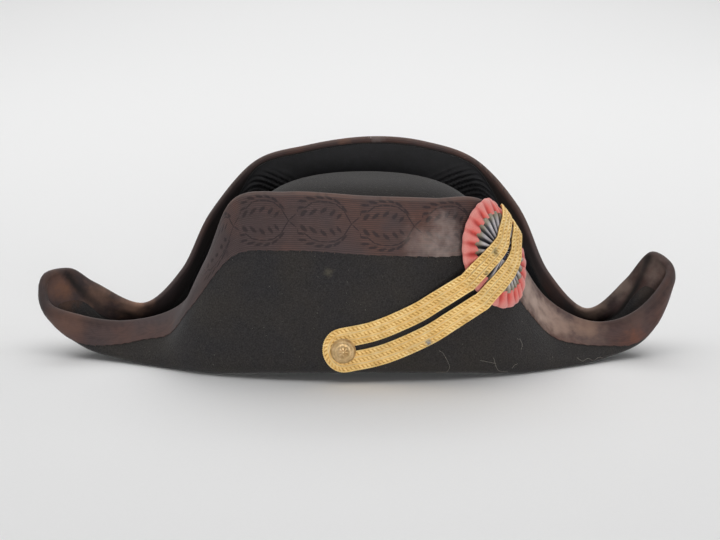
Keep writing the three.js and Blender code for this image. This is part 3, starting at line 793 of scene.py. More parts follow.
@dataclass(frozen=True)
class GiltMetal(Finish):
    """Gilt brass, as thread or stamped: warm yellow where it is rubbed, brown where it is tarnished."""

    bright: str = "#e2b866"
    dull: str = "#b98a45"
    tarnish: str = "#6f5330"
    tarnish_share: float = 0.35
    rubbed_grains: float = 6
    tarnish_grains: float = 14

    def pattern(self, tree: Tree, place: Socket) -> tuple[Socket, Socket]:
        """Rubbed and tarnished clouds over fine grain. See Finish.pattern."""
        fine = self.speckle(tree, place, self.grain, Spots.FIBRES)
        rubbed = self.speckle(tree, place, self.rubbed_grains * self.grain)
        brown = self.speckle(tree, place, self.tarnish_grains * self.grain, Spots.TARNISH)
        shares = {0: brown, 1: self.tarnish_share}
        share = add_node(tree, "ShaderNodeMath", shares, operation="MULTIPLY").outputs[0]
        gold = self.blend(tree, rubbed, self.dull, self.bright)
        return self.blend(tree, share, gold, self.tarnish), fine


@dataclass(frozen=True)
class PaleLint(Finish):
    """Lint and loose linen thread: pale, matte and uneven."""

    light: str = "#a39d94"
    dark: str = "#6f6a63"

    def pattern(self, tree: Tree, place: Socket) -> tuple[Socket, Socket]:
        """Uneven fibres. See Finish.pattern."""
        fibres = self.speckle(tree, place, self.grain, Spots.FIBRES)
        return self.blend(tree, fibres, self.dark, self.light), fibres


@dataclass(frozen=True)
class BackgroundPaper(Finish):
    """Matte white background paper: pale and even."""

    light: str = "#ececec"
    dark: str = "#ebebeb"

    def pattern(self, tree: Tree, place: Socket) -> tuple[Socket, Socket]:
        """Even paper. See Finish.pattern."""
        tooth = self.speckle(tree, place, self.grain)
        return self.blend(tree, tooth, self.dark, self.light), tooth


# Wear and stains on the ribbon, and patches of painted light where marked.
RIBBON_WEAR_AND_LIGHT = (
    Patch(60, -86, 104, 16, "#c2b2ab", 0.34),  # rubbed pale beside the cockade
    Patch(46, -90, 92, 19, "#b8a59d", 0.34),
    Patch(62, -87, 88, 18, "#c6b6af", 0.4),
    # Painted light: the right flank made paler where it faces up to the light.
    Patch(117, -46, 56, 21, "#b39b8f", 0.8),  # right flank
    Patch(123, -43, 43, 20, "#bba497", 0.8),
    Patch(131, -37, 33, 20, "#b39a8c", 0.8),
    Patch(144, -35, 25, 20, "#9c8274", 0.75),
    Patch(160, -27, 22, 20, "#937665", 0.7),
    Patch(15.6, 97.6, 138, 8, "#8d8581", 0.45),  # back rim
    Patch(-9, 97.6, 137, 9, "#86604d", 0.5),
    # Painted light: the inside of the right trough made paler and browner where light falls into it.
    Patch(167, 26, 25, 20, "#957e70", 0.8),  # inside of the right trough
    Patch(189, 20, 42, 18, "#85746a", 0.75),
    Patch(196, -20, 26, 16, "#6d5248", 0.35),  # right tip
    Patch(195, -21, 15, 11, "#7d4c36", 0.6),
    Patch(211, 8, 55, 16, "#7a6c64", 0.7),
    # Painted light: the inside of the left trough made paler and browner where light falls into it.
    Patch(-160, 26, 27, 20, "#a37e6a", 0.8),  # inside of the left trough
    Patch(-184, 21, 36, 17, "#8d6d5c", 0.75),
    # Left tip: rust stains, lightened inside the tip as painted light.
    Patch(-204, -18, 22, 24, "#785647", 0.5),  # left tip
    Patch(-211, 8, 45, 18, "#7a5644", 0.5),
    Patch(-205, 10, 42, 11, "#8a5c3e", 0.4),
    Patch(-88, -74, 84, 4.5, "#2b2526", 0.8),  # torn corner
)
FELT_STAINS = (
    Patch(-18.2, -93.3, 74.7, 5, "#6a6454", 0.4),  # middle of the front flap
    Patch(-207, 10, 35, 17, "#5c4134", 0.75),  # inside of the tips
    Patch(206, 10, 40, 18, "#4a403a", 0.6),
)
CORD_STAINS = (
    Patch(92.7, -86.5, 86.9, 4.5, "#5c5742", 0.85),  # dark on the cockade
    Patch(86.4, -95.5, 74.4, 3, "#4b4436", 0.85),
    Patch(48.5, -97.6, 27.8, 3.4, "#7f8893", 0.95),  # silvery between the cockade and the button
)


@dataclass(frozen=True)
class LaidStrands:
    """Short rounded strands laid on a surface, each at a point with its own way and front."""

    length: float
    width: float
    thick: float
    jitter: float
    seed: int
    segments: ClassVar[int] = 8
    rings: ClassVar[int] = 6
    unit_radius: ClassVar[float] = 0.5
    tree: ClassVar[Tree | None] = None
    sockets: ClassVar[dict[str, str]] = {}

    @classmethod
    def grow_tree(cls) -> Tree:
        """Build the Geometry Nodes tree once.

        Returns:
            The tree, with inputs for the strands' sizes, their unevenness, its seed and their material.
        """
        if cls.tree:
            return cls.tree
        tree = bpy.data.node_groups.new("laid_strands", "GeometryNodeTree")
        tree.interface.new_socket("Points", in_out="INPUT", socket_type="NodeSocketGeometry")
        kinds = {"Length": "Float", "Width": "Float", "Thick": "Float", "Jitter": "Float", "Seed": "Int",
                 "Material": "Material"}
        for name, kind in kinds.items():
            socket = tree.interface.new_socket(name, in_out="INPUT", socket_type=f"NodeSocket{kind}")
            cls.sockets[name] = socket.identifier
        tree.interface.new_socket("Strands", in_out="OUTPUT", socket_type="NodeSocketGeometry")
        given = add_node(tree, "NodeGroupInput").outputs
        ball = add_node(tree, "GeometryNodeMeshUVSphere", {
            "Segments": cls.segments, "Rings": cls.rings, "Radius": cls.unit_radius}).outputs[0]
        sizes = add_node(tree, "ShaderNodeCombineXYZ", {
            0: given["Length"], 1: given["Width"], 2: given["Thick"]}).outputs[0]
        strand = add_node(tree, "GeometryNodeTransform", {"Geometry": ball, "Scale": sizes}).outputs[0]
        way, front = (add_node(tree, "GeometryNodeInputNamedAttribute", {"Name": name},
                               data_type="FLOAT_VECTOR").outputs[0] for name in ("way", "front"))
        turn = add_node(tree, "FunctionNodeAxesToRotation", {0: way, 1: front},
                        primary_axis="X", secondary_axis="Z").outputs[0]
        spread = {0: 1.0, 1: given["Jitter"]}
        least, most = (add_node(tree, "ShaderNodeMath", spread, operation=change).outputs[0]
                       for change in ("SUBTRACT", "ADD"))
        random = add_node(tree, "FunctionNodeRandomValue", {"Seed": given["Seed"]}, data_type="FLOAT")
        for socket in random.inputs:
            if socket.enabled and socket.name in ("Min", "Max"):
                tree.links.new(least if socket.name == "Min" else most, socket)
        scale = next(output for output in random.outputs if output.enabled)
        laid = add_node(tree, "GeometryNodeInstanceOnPoints", {
            "Points": given["Points"], "Instance": strand, "Rotation": turn, "Scale": scale}).outputs[0]
        real = add_node(tree, "GeometryNodeRealizeInstances", {0: laid}).outputs[0]
        soft = add_node(tree, "GeometryNodeSetShadeSmooth", {0: real}).outputs[0]
        finish = {0: soft, "Material": given["Material"]}
        dressed = add_node(tree, "GeometryNodeSetMaterial", finish).outputs[0]
        add_node(tree, "NodeGroupOutput", {0: dressed})
        cls.tree = tree
        return tree

    def lay(self, name: str, points: Array, way: Array, front: Array,
            material: Material) -> Piece:
        """Lay the strands and turn them into a plain mesh.

        Args:
            name: Name of the piece.
            points: Middles of the strands.
            way: The way that each strand runs.
            front: The way that each strand faces.
            material: Their material.

        Returns:
            The piece, which is in the scene.
        """
        tree = self.grow_tree()
        piece = make_mesh(name, points, [])
        for key, vectors in (("way", way), ("front", front)):
            attribute = piece.data.attributes.new(key, "FLOAT_VECTOR", "POINT")
            attribute.data.foreach_set("vector", np.asarray(vectors, np.float32).ravel())
        modifier = piece.modifiers.new("strands", "NODES")
        modifier.node_group = tree
        values = {"Length": self.length * MM, "Width": self.width * MM, "Thick": self.thick * MM,
                  "Jitter": self.jitter, "Seed": self.seed, "Material": material}
        for key, value in values.items():
            modifier[self.sockets[key]] = value
        graph = bpy.context.evaluated_depsgraph_get()
        mesh = bpy.data.meshes.new_from_object(piece.evaluated_get(graph))
        piece.modifiers.clear()
        piece.data = mesh
        return piece


@dataclass
class Strip:
    """A stretch of the felt's middle surface in columns from the rim over the brim and up the crown."""

    points: Array
    normals: Array
    lengths: Array
    wall_length: Array
    turned_in: Array
    roll: Array

    def at(self, lengths: Array, lifts: Array) -> Array:
        """Points at lengths from the rim, lifted off the felt into the hat.

        Args:
            lengths: Lengths from the rim, with a row for each column.
            lifts: Lifts of the same points.

        Returns:
            The points, with a row for each column.
        """
        rows = list(zip(lengths, self.lengths, self.points, self.normals))
        found = np.array([read_at(wanted, known, points) for wanted, known, points, _ in rows])
        facing = np.array([read_at(wanted, known, normals) for wanted, known, _, normals in rows])
        return found + unit(facing) * lifts[..., None]


@dataclass
class FeltBody:
    """Crown and cocked brim, blocked from one piece of felt."""

    thick: float = 2.2
    crown_half_length: float = 97
    crown_half_width: float = 79
    crown_height: float = 124
    crown_fullness: float = 3.2
    crown_x: float = 7
    crown_y: float = 2
    arch_height: float = 4.5
    arch_start: float = 0.55
    keel_sweep: float = 5
    bend_share: float = 0.8
    rest_flat: float = 0.6
    rest_spread: float = 1.2
    rest_reach: float = 3.6
    below_rim: float = 1.8
    least_wall: float = 0.2
    dent: float = 0.55
    dents_from: Span = (5, 16)
    slow_dents: Place = (31, 27, 90)
    slow_start: float = 0.8
    quick_dents: Span = (13, 17)
    quick_share: float = 0.4
    ribbon_in_most: float = 20
    ribbon_in_least: float = 2.6
    left_turn: Span = (95, 150)
    right_turn: Span = (105, 165)
    ribbon_at_tips: float = 3
    tips_from: Span = (150, 200)
    low_rim: float = 98
    high_rim: float = 125
    tip_roll: float = 1.3
    roll_reach: float = 11
    column_step: float = 2.8
    least_columns: int = 4
    wall_rows: int = 34
    corner_rows: int = 12
    floor_rows: int = 14
    crown_rows: int = 28
    soft_rows: int = 5
    soft_times: int = 6
    nearest: int = 4

    def __post_init__(self) -> None:
        """Work out the sections' spans and slopes, and the whole brim."""
        table = np.array(BRIM_SECTIONS, float)
        after = np.roll(table, -1, 0)
        fold, rim = slice(0, 3), slice(4, 7)
        self.span = sum(np.linalg.norm(after[:, part] - table[:, part], axis=1) for part in (fold, rim)) / 2
        ahead, behind = self.span[:, None], np.roll(self.span, 1)[:, None]
        rise = (after - table) / ahead
        self.slope = (np.roll(rise, 1, 0) * ahead + rise * behind) / (behind + ahead)
        self.table = table
        self.places = self.spread(self.column_step)
        self.whole = self.surface(self.places, True)

    def spread(self, step: float) -> Array:
        """Spread columns evenly round the brim, from the back's middle.

        Args:
            step: Distance between two columns.

        Returns:
            Their places, with a whole number at each section.
        """
        places = []
        for i in range(BACK_MIDDLE, BACK_MIDDLE + len(self.table)):
            count = max(self.least_columns, round(self.span[i % len(self.table)] / step))
            places.extend(i + np.arange(count) / count)
        return np.array(places)

    def sections(self, places: Array) -> dict[str, Array]:
        """Read the smooth curve through the sections.

        Args:
            places: Places of columns, with a whole number at each section.

        Returns:
            Values of the table's columns at these places, by name.
        """
        i = np.floor(places).astype(int) % len(self.table)
        k = (i + 1) % len(self.table)
        f = (places - np.floor(places))[:, None]
        g = 1 - f
        ends = self.table[i] * g * g * (1 + 2 * f) + self.table[k] * f * f * (1 + 2 * g)
        values = ends + f * g * self.span[i][:, None] * (self.slope[i] * g - self.slope[k] * f)
        return dict(zip(BRIM_COLUMNS, values.T))

    def crown(self, seat: Array, seat_z: Array, levels: Array) -> Array:
        """Points of the crown.

        Args:
            seat: Angle of each column round the crown.
            seat_z: Height of its foot.
            levels: Levels from 1 at the brim to 0 at the apex.

        Returns:
            The points, with a row for each column.
        """
        power = 2 / self.crown_fullness
        radius = np.sin(levels * math.pi / 2) ** power
        lift = np.maximum(np.cos(levels * math.pi / 2), 0) ** power
        x = self.crown_half_length * radius * np.cos(seat)[:, None]
        y = self.crown_half_width * radius * np.sin(seat)[:, None]
        return np.stack([x, y, mix(seat_z[:, None], self.crown_height, lift)], -1)

    def turned_in(self, s: dict[str, Array]) -> Array:
        """How much of the ribbon's width lies inside the rim, most of all at the flanks and tips.

        Args:
            s: Values of the brim's columns.

        Returns:
            A width for each column.
        """
        on_front = np.maximum(smooth(s["rim_x"], *self.right_turn), smooth(-s["rim_x"], *self.left_turn))
        on_back = 1 - smooth(s["rim_z"], self.low_rim, self.high_rim)
        share = np.where(s["rim_y"] < 0, on_front, on_back)
        at_tips = self.ribbon_at_tips * smooth(np.abs(s["rim_x"]), *self.tips_from)
        return mix(self.ribbon_in_least, self.ribbon_in_most, share) + at_tips

    def surface(self, places: Array, closed: bool) -> Strip:
        """The felt's middle surface at some columns.

        Args:
            places: Places of the columns on the curve through the sections.
            closed: Whether the last column is followed by the first.

        Returns:
            The columns' points, normals and lengths.
        """
        s = self.sections(places)
        seat = np.arctan2(s["fold_y"] / self.crown_half_width, s["fold_x"] / self.crown_half_length)
        arch = self.arch_height * smooth(np.abs(np.sin(seat)), self.arch_start, 1)
        seat_z = arch + self.thick / 2
        inner = self.crown(seat, seat_z, np.array([1.0]))[:, 0]
        fold = np.stack([s["fold_x"], s["fold_y"], s["fold_z"] + self.thick / 2], -1)
        rim = np.stack([s["rim_x"], s["rim_y"], s["rim_z"]], -1)
        outward = unit((fold - inner) * (1, 1, 0))
        wall_span = np.linalg.norm(rim - fold, axis=1)
        floor_span = np.linalg.norm(fold - inner, axis=1)
        roll = self.tip_roll * smooth(np.abs(s["rim_x"]), *self.tips_from)
        wall_start = (self.below_rim + roll) / wall_span
        wall_end = 1 - np.minimum(self.bend_share, s["bend"] / wall_span)
        wall_end = np.maximum(wall_end, wall_start + self.least_wall)
        floor_start = np.minimum(self.bend_share, s["bend"] / floor_span)

        def wall(f: Array) -> Array:
            """Points down the wall, with a row of shares for each column."""
            swell = 4 * s["bulge"][:, None] * f * (1 - f)
            return mix(rim[:, None], fold[:, None], f[..., None]) + outward[:, None] * swell[..., None]

        def floor(f: Array) -> Array:
            """Points along the floor from the fold to the crown, with a row of shares for each column."""
            level = inner[:, None, 2] + (fold - inner)[:, None, 2] * (1 - f) ** self.keel_sweep
            return np.dstack([mix(fold[:, None, :2], inner[:, None, :2], f[..., None]), level])

        down = np.linspace(0, 1, self.wall_rows + 1)
        bend = np.linspace(0, 1, self.corner_rows + 1)[1:, None]
        along = np.linspace(0, 1, self.floor_rows + 1)[1:]
        start, end = wall(wall_end[:, None]), floor(floor_start[:, None])
        corner = start * (1 - bend) ** 2 + fold[:, None] * 2 * bend * (1 - bend) + end * bend**2
        brim = np.concatenate([
            wall(mix(wall_start[:, None], wall_end[:, None], down)), corner,
            floor(mix(floor_start[:, None], 1.0, along))], axis=1)
        levels = np.linspace(1, 0, self.crown_rows + 1)[1:-1]
        points = np.concatenate([brim, self.crown(seat, seat_z, levels)], axis=1)
        self.soften(points, brim.shape[1] - 1)
        points += outward[:, None] * self.dents(points)[..., None]
        points += (self.crown_x, self.crown_y, 0)
        lengths = lengths_along(points)
        normals = grid_normals(points, closed)
        return Strip(points, normals, lengths, lengths[:, self.wall_rows], self.turned_in(s), roll)

    def soften(self, points: Array, row: int) -> None:
        """Round the corner between the floor and the crown.

        Args:
            points: Points of the felt, which are changed a few rows to each side of the corner.
            row: The corner's row.
        """
        first, last = row - self.soft_rows, row + self.soft_rows + 1
        for _ in range(self.soft_times):
            around = points[:, first - 1:last - 1] + points[:, first + 1:last + 1]
            points[:, first:last] = points[:, first:last] / 2 + around / 4

    def dents(self, points: Array) -> Array:
        """How far wear has pushed the felt out of its even form, above the surface that it rests on.

        Args:
            points: Points of the felt.

        Returns:
            A distance for each point.
        """
        x, z = points[..., 0], points[..., 2]
        across, up, slant = self.slow_dents
        slow = np.sin(x / across + self.slow_start) * np.sin(z / up + x / slant)
        across, up = self.quick_dents
        quick = np.sin(x / across + z / up)
        return self.dent * (slow + self.quick_share * quick) * smooth(z, *self.dents_from)

    def build(self, material: Material) -> None:
        """Make the felt's wall, flat where the hat rests.

        Args:
            material: Its material.
        """
        lifts = np.array([self.thick / 2, -self.thick / 2])
        upper, under = (self.whole.points + self.whole.normals * lift for lift in lifts)
        height = under[..., 2]
        pressed = (height - self.rest_flat) * self.rest_spread
        under[..., 2] = np.clip(np.where(height < self.rest_reach, pressed, height), 0, None)
        poles = np.array([self.crown_x, self.crown_y, self.crown_height]) + lifts[:, None] * (0, 0, 1)
        # Painted shade along the creases of the tips.
        traits = {"crease": painted_crease_shade(self.whole.points)}
        piece = make_wall("felt_body_brushed", upper, under, True, traits, poles)
        settle(piece, Slot.FELT, material, "felt_body")

    def on_front(self, x: Array, z: Array, lift: float) -> tuple[Array, Array]:
        """Points on the outside of the front.

        Args:
            x: Places across the front.
            z: Heights.
            lift: How far off the felt they lie.

        Returns:
            The points, and the way that the felt faces there.
        """
        rows = self.wall_rows + self.corner_rows
        points = (self.whole.points - self.whole.normals * (self.thick / 2 + lift))[:, :rows].reshape(-1, 3)
        facing = -self.whole.normals[:, :rows].reshape(-1, 3)
        front = points[:, 1] < 0
        points, facing = points[front], facing[front]
        apart = ((points[:, 0] - a) ** 2 + (points[:, 2] - b) ** 2 for a, b in zip(x, z))
        near = [np.argsort(distance)[:self.nearest] for distance in apart]
        placed = np.array([[a, points[n, 1].mean(), b] for a, b, n in zip(x, z, near)])
        return placed, unit(np.array([facing[n].mean(0) for n in near]))


@dataclass
class EdgeRibbon:
    """Ribbon folded over the whole edge of the brim and whipped down along its lower edge."""

    felt: FeltBody
    thick: float = 0.45
    inner_edge: float = 0.2
    gap: float = 0.25
    inside_gap: float = 0.05
    outside_gap: float = 0.1
    thin_from: float = 0.6
    sewn_from: float = 0.7
    width: float = 40
    ends_apart: float = 0.004
    inside_rows: int = 10
    rim_rows: int = 8
    outside_rows: int = 20
    repeats: int = 29
    # How clear the weave is low on the brim and inside the hat, and the heights where it gets clear.
    clear_least: float = 0.25
    clear_inside: float = 0.4
    clear_heights: Span = (60, 112)
    # Painted shade inside the flaps, along the rim of the tips and in their scoops, and where each of them
    # starts.
    flap_shade: float = 0.9
    flap_shade_from: Span = (1.5, 6)
    flap_shade_heights: Span = (26, 45)
    rim_shade: float = 0.35
    rim_shade_to: Span = (1, 7)
    scoop_shade: float = 0.2
    scoop_shade_from: Span = (10, 20)
    troughs_from: Span = (115, 150)
    tips_from: Span = (150, 185)
    stitch: LaidStrands = LaidStrands(length=1.9, width=0.32, thick=0.32, jitter=0.3, seed=3)
    stitch_step: float = 7.6
    stitch_pull: float = 0.35
    stitch_slant: float = 0.45
    stitch_wander: float = 0.25
    stitch_lift: float = 0.45
    stitch_seed: int = 7
    stitched_to: float = 185

    def __post_init__(self) -> None:
        """Lay the ribbon's middle surface over the brim, with its ends meeting at the back's middle."""
        felt = self.felt
        places = np.append(felt.places, felt.places[0] + len(BRIM_SECTIONS) - self.ends_apart)
        strip = felt.surface(places, False)
        mid = strip.at((self.width / 2 - strip.turned_in)[:, None], np.zeros((len(places), 1)))
        along = lengths_along(mid[:, 0])
        self.along = along - np.interp(FRONT_MIDDLE, places, along)
        self.length = along[-1]
        inward = np.linspace(1, 0, self.inside_rows + 1)
        outward = np.linspace(0, 1, self.outside_rows + 1)
        outside = self.width - strip.turned_in
        pull = self.stitch_pull * np.cos(self.along / self.stitch_step * 2 * math.pi)
        inside_lengths = strip.turned_in[:, None] * inward
        outside_lengths = (outside + pull)[:, None] * outward
        lift = felt.thick / 2 + self.gap + self.thick / 2
        ending = smooth(inward, self.thin_from, 1)
        thin = (1 - self.inner_edge) * ending
        sunk = (self.gap - self.inside_gap) * ending + self.thick * thin / 2
        sewn = (self.gap - self.outside_gap) * smooth(outward, self.sewn_from, 1)
        inside = strip.at(inside_lengths, lift - sunk + self.rolled(strip.roll, inside_lengths))
        out = strip.at(outside_lengths, -(lift - sewn + self.rolled(strip.roll, outside_lengths)))
        turn = np.linspace(0, math.pi, self.rim_rows + 1)[1:-1, None]
        edge = strip.points[:, 0]
        upward = unit(edge - strip.points[:, 1])
        arc = np.cos(turn) * strip.normals[:, :1] + np.sin(turn) * upward[:, None]
        over = edge[:, None] + (lift + strip.roll)[:, None, None] * arc
        self.grid = np.concatenate([inside, over, out], axis=1)
        thinned = np.pad(thin, (0, self.grid.shape[1] - len(thin)))
        self.half_thick = self.thick / 2 * (1 - thinned)[:, None]
        top = np.zeros(over.shape[:2])
        rim = np.concatenate([inside_lengths, top, outside_lengths], axis=1)
        signed = np.concatenate([-inside_lengths, top, outside_lengths], axis=1)
        self.traits = self.wear(strip, rim, signed - (outside - self.width / 2)[:, None])
        run, fall = np.gradient(self.grid[:, -1], axis=0), self.grid[:, -1] - self.grid[:, -2]
        self.edge_normals = -unit(np.cross(run, fall))

    def rolled(self, roll: Array, lengths: Array) -> Array:
        """How far the ribbon stands off the felt at lengths from the rim, where the tips are rolled."""
        return roll[:, None] * (1 - smooth(lengths, 0, self.felt.roll_reach))

    def wear(self, strip: Strip, rim: Array, across: Array) -> dict[str, Array]:
        """Values of the ribbon's points that its finish reads.

        Args:
            strip: The felt under the ribbon.
            rim: Lengths from the rim.
            across: Distances from the ribbon's middle line.

        Returns:
            Lengths along and across the ribbon and from the rim, how clear the weave is, and the painted
            shade on it and in the creases, by name.
        """
        x, z = np.abs(strip.points[:, :1, 0]), strip.points[:, :1, 2]
        inner = np.arange(rim.shape[1]) < self.inside_rows
        clear = mix(self.clear_least, 1, smooth(z, *self.clear_heights))
        tip = smooth(x, *self.tips_from)
        flaps = smooth(rim, *self.flap_shade_from) * smooth(z, *self.flap_shade_heights)
        # Painted shade: darker inside the flaps, along the tips' rims where it holds back their highlight,
        # and deep in the scoops.
        painted_shade = np.maximum.reduce([
            self.flap_shade * inner * flaps * (1 - smooth(x, *self.troughs_from)),
            self.rim_shade * tip * (1 - smooth(rim, *self.rim_shade_to)),
            self.scoop_shade * tip * inner * smooth(rim, *self.scoop_shade_from)])
        # The crease trait holds painted shade along the creases.
        return {"along": np.broadcast_to(self.along[:, None], rim.shape), "across": across, "rim": rim,
                "clear": clear * np.where(inner, self.clear_inside, 1.0), "painted_shade": painted_shade,
                "crease": painted_crease_shade(self.grid)}

    def build(self, material: Material) -> None:
        """Make the ribbon.

        Args:
            material: Its material.
        """
        normals = grid_normals(self.grid, False)
        face, back = (self.grid + normals * side * self.half_thick for side in (1, -1))
        piece = make_wall("edge_ribbon_laurel", face, back, False, self.traits)
        settle(piece, Slot.RIBBON, material, "edge_ribbon")

    def whip(self, material: Material) -> None:
        """Sew the ribbon's lower edge down with small slanting stitches.

        Args:
            material: The thread's material.
        """
        count = int(self.length / self.stitch_step)
        along = np.arange(count) * self.stitch_step + self.along[0] + self.stitch_step / 2
        lines = (self.grid[:, -1], self.grid[:, -2] - self.grid[:, -1], self.edge_normals)
        edge, up, facing = (read_at(along, self.along, line) for line in lines)
        shown = np.abs(edge[:, 0]) < self.stitched_to
        edge, up, facing = edge[shown], unit(up[shown]), unit(facing[shown])
        side = unit(np.cross(up, facing))
        wander = np.random.default_rng(self.stitch_seed).normal(0, self.stitch_wander, (len(edge), 1))
        way = unit(up + side * (self.stitch_slant + wander))
        lifted = edge + facing * self.stitch_lift
        piece = self.stitch.lay("edge_whip_stitches", lifted, way, facing, material)
        settle(piece, Slot.RIBBON, material)


@dataclass
class BackLining:
    """Thin cloth on the inner face of the back flap, gathered at both corners."""

    felt: FeltBody
    thick: float = 0.8
    gap: float = 0.7
    below_ribbon: float = 1.0
    first: float = 12.3
    last: float = 19.7
    columns: int = 340
    rows: int = 60
    crowding: float = 1.8
    folds: int = 4
    depth: float = 2.6
    sharpness: float = 1.2
    half_width: float = 0.62
    slant: float = 4.2
    shown_at: float = 0.16
    gathers_from: Span = (0.01, 0.12)
    gathers_to: Span = (0.3, 0.6)
    corners: Span = (14.3, 17.7)
    cut_height: float = 118

    def lift(self, place: Array, down: Array) -> Array:
        """How far the gathers stand off the felt.

        Args:
            place: Places of the columns round the brim.
            down: Shares of the way down the lining.

        Returns:
            A lift for each column and row.
        """
        lean = self.slant * (down - self.shown_at)
        away = np.min([np.abs(place - c + lean * np.sign(c - BACK_MIDDLE)) for c in self.corners], 0)
        near = np.clip(1 - away / self.half_width, 0, 1)
        wave = np.abs(np.sin(away / self.half_width * self.folds * math.pi)) ** self.sharpness
        shown = smooth(down, *self.gathers_from) * fade(down, *self.gathers_to)
        return self.depth * np.sqrt(near) * wave * shown

    def build(self, material: Material) -> None:
        """Make the lining.

        Args:
            material: Its material.
        """
        places = np.linspace(self.first, self.last, self.columns)
        strip = self.felt.surface(places, False)
        down = np.linspace(0, 1, self.rows + 1)[None] ** self.crowding
        lengths = mix((strip.turned_in + self.below_ribbon)[:, None], strip.wall_length[:, None], down)
        rest = self.felt.thick / 2 + self.gap + self.thick / 2
        grid = strip.at(lengths, rest + self.lift(places[:, None], down))
        normals = grid_normals(grid, False)
        face, back = (grid + normals * side * self.thick / 2 for side in (1, -1))
        piece = make_wall("back_flap_lining_cloth", face, back, False)
        settle(piece, Slot.LINING, material, "back_flap_lining")


@dataclass(frozen=True)
class Ring:
    """A pleated ring of the cockade: its edges as shares of the cockade's radius, and its heights."""

    name: str
    node: str
    slot: Slot
    inner: float
    outer: float
    back: float
    inner_hollow: float
    inner_ridge: float
    outer_hollow: float
    outer_ridge: float
    pleats: int
    ridge_at: float
    plateau: float
    flat_edge: float
    fullness: float
    seed: int
    scallop: float = 1.0
    samples: int = 14
    rows: int = 12


RINGS = (
    Ring("cockade_red_ribbon", "cockade_red_pleats", Slot.RED, inner=0.70, outer=1, back=0,
         inner_hollow=1.9, inner_ridge=4.9, outer_hollow=1.6, outer_ridge=2.4, pleats=24, ridge_at=0.62,
         plateau=0.1, flat_edge=0.45, fullness=1.25, seed=124, scallop=0.975),
    Ring("cockade_silver_ribbon", "cockade_silver_pleats", Slot.SILVER, inner=0.15, outer=0.735, back=0.6,
         inner_hollow=2.4, inner_ridge=4.6, outer_hollow=1.8, outer_ridge=4.8, pleats=28, ridge_at=0.5,
         plateau=0.15, flat_edge=0, fullness=1.25, seed=101),
    Ring("cockade_blue_ribbon", "cockade_blue_centre", Slot.BLUE, inner=0.03, outer=0.14, back=0.6,
         inner_hollow=3.2, inner_ridge=4.2, outer_hollow=3.0, outer_ridge=4.2, pleats=8, ridge_at=0.6,
         plateau=0.2, flat_edge=0, fullness=1.5, seed=22),
)


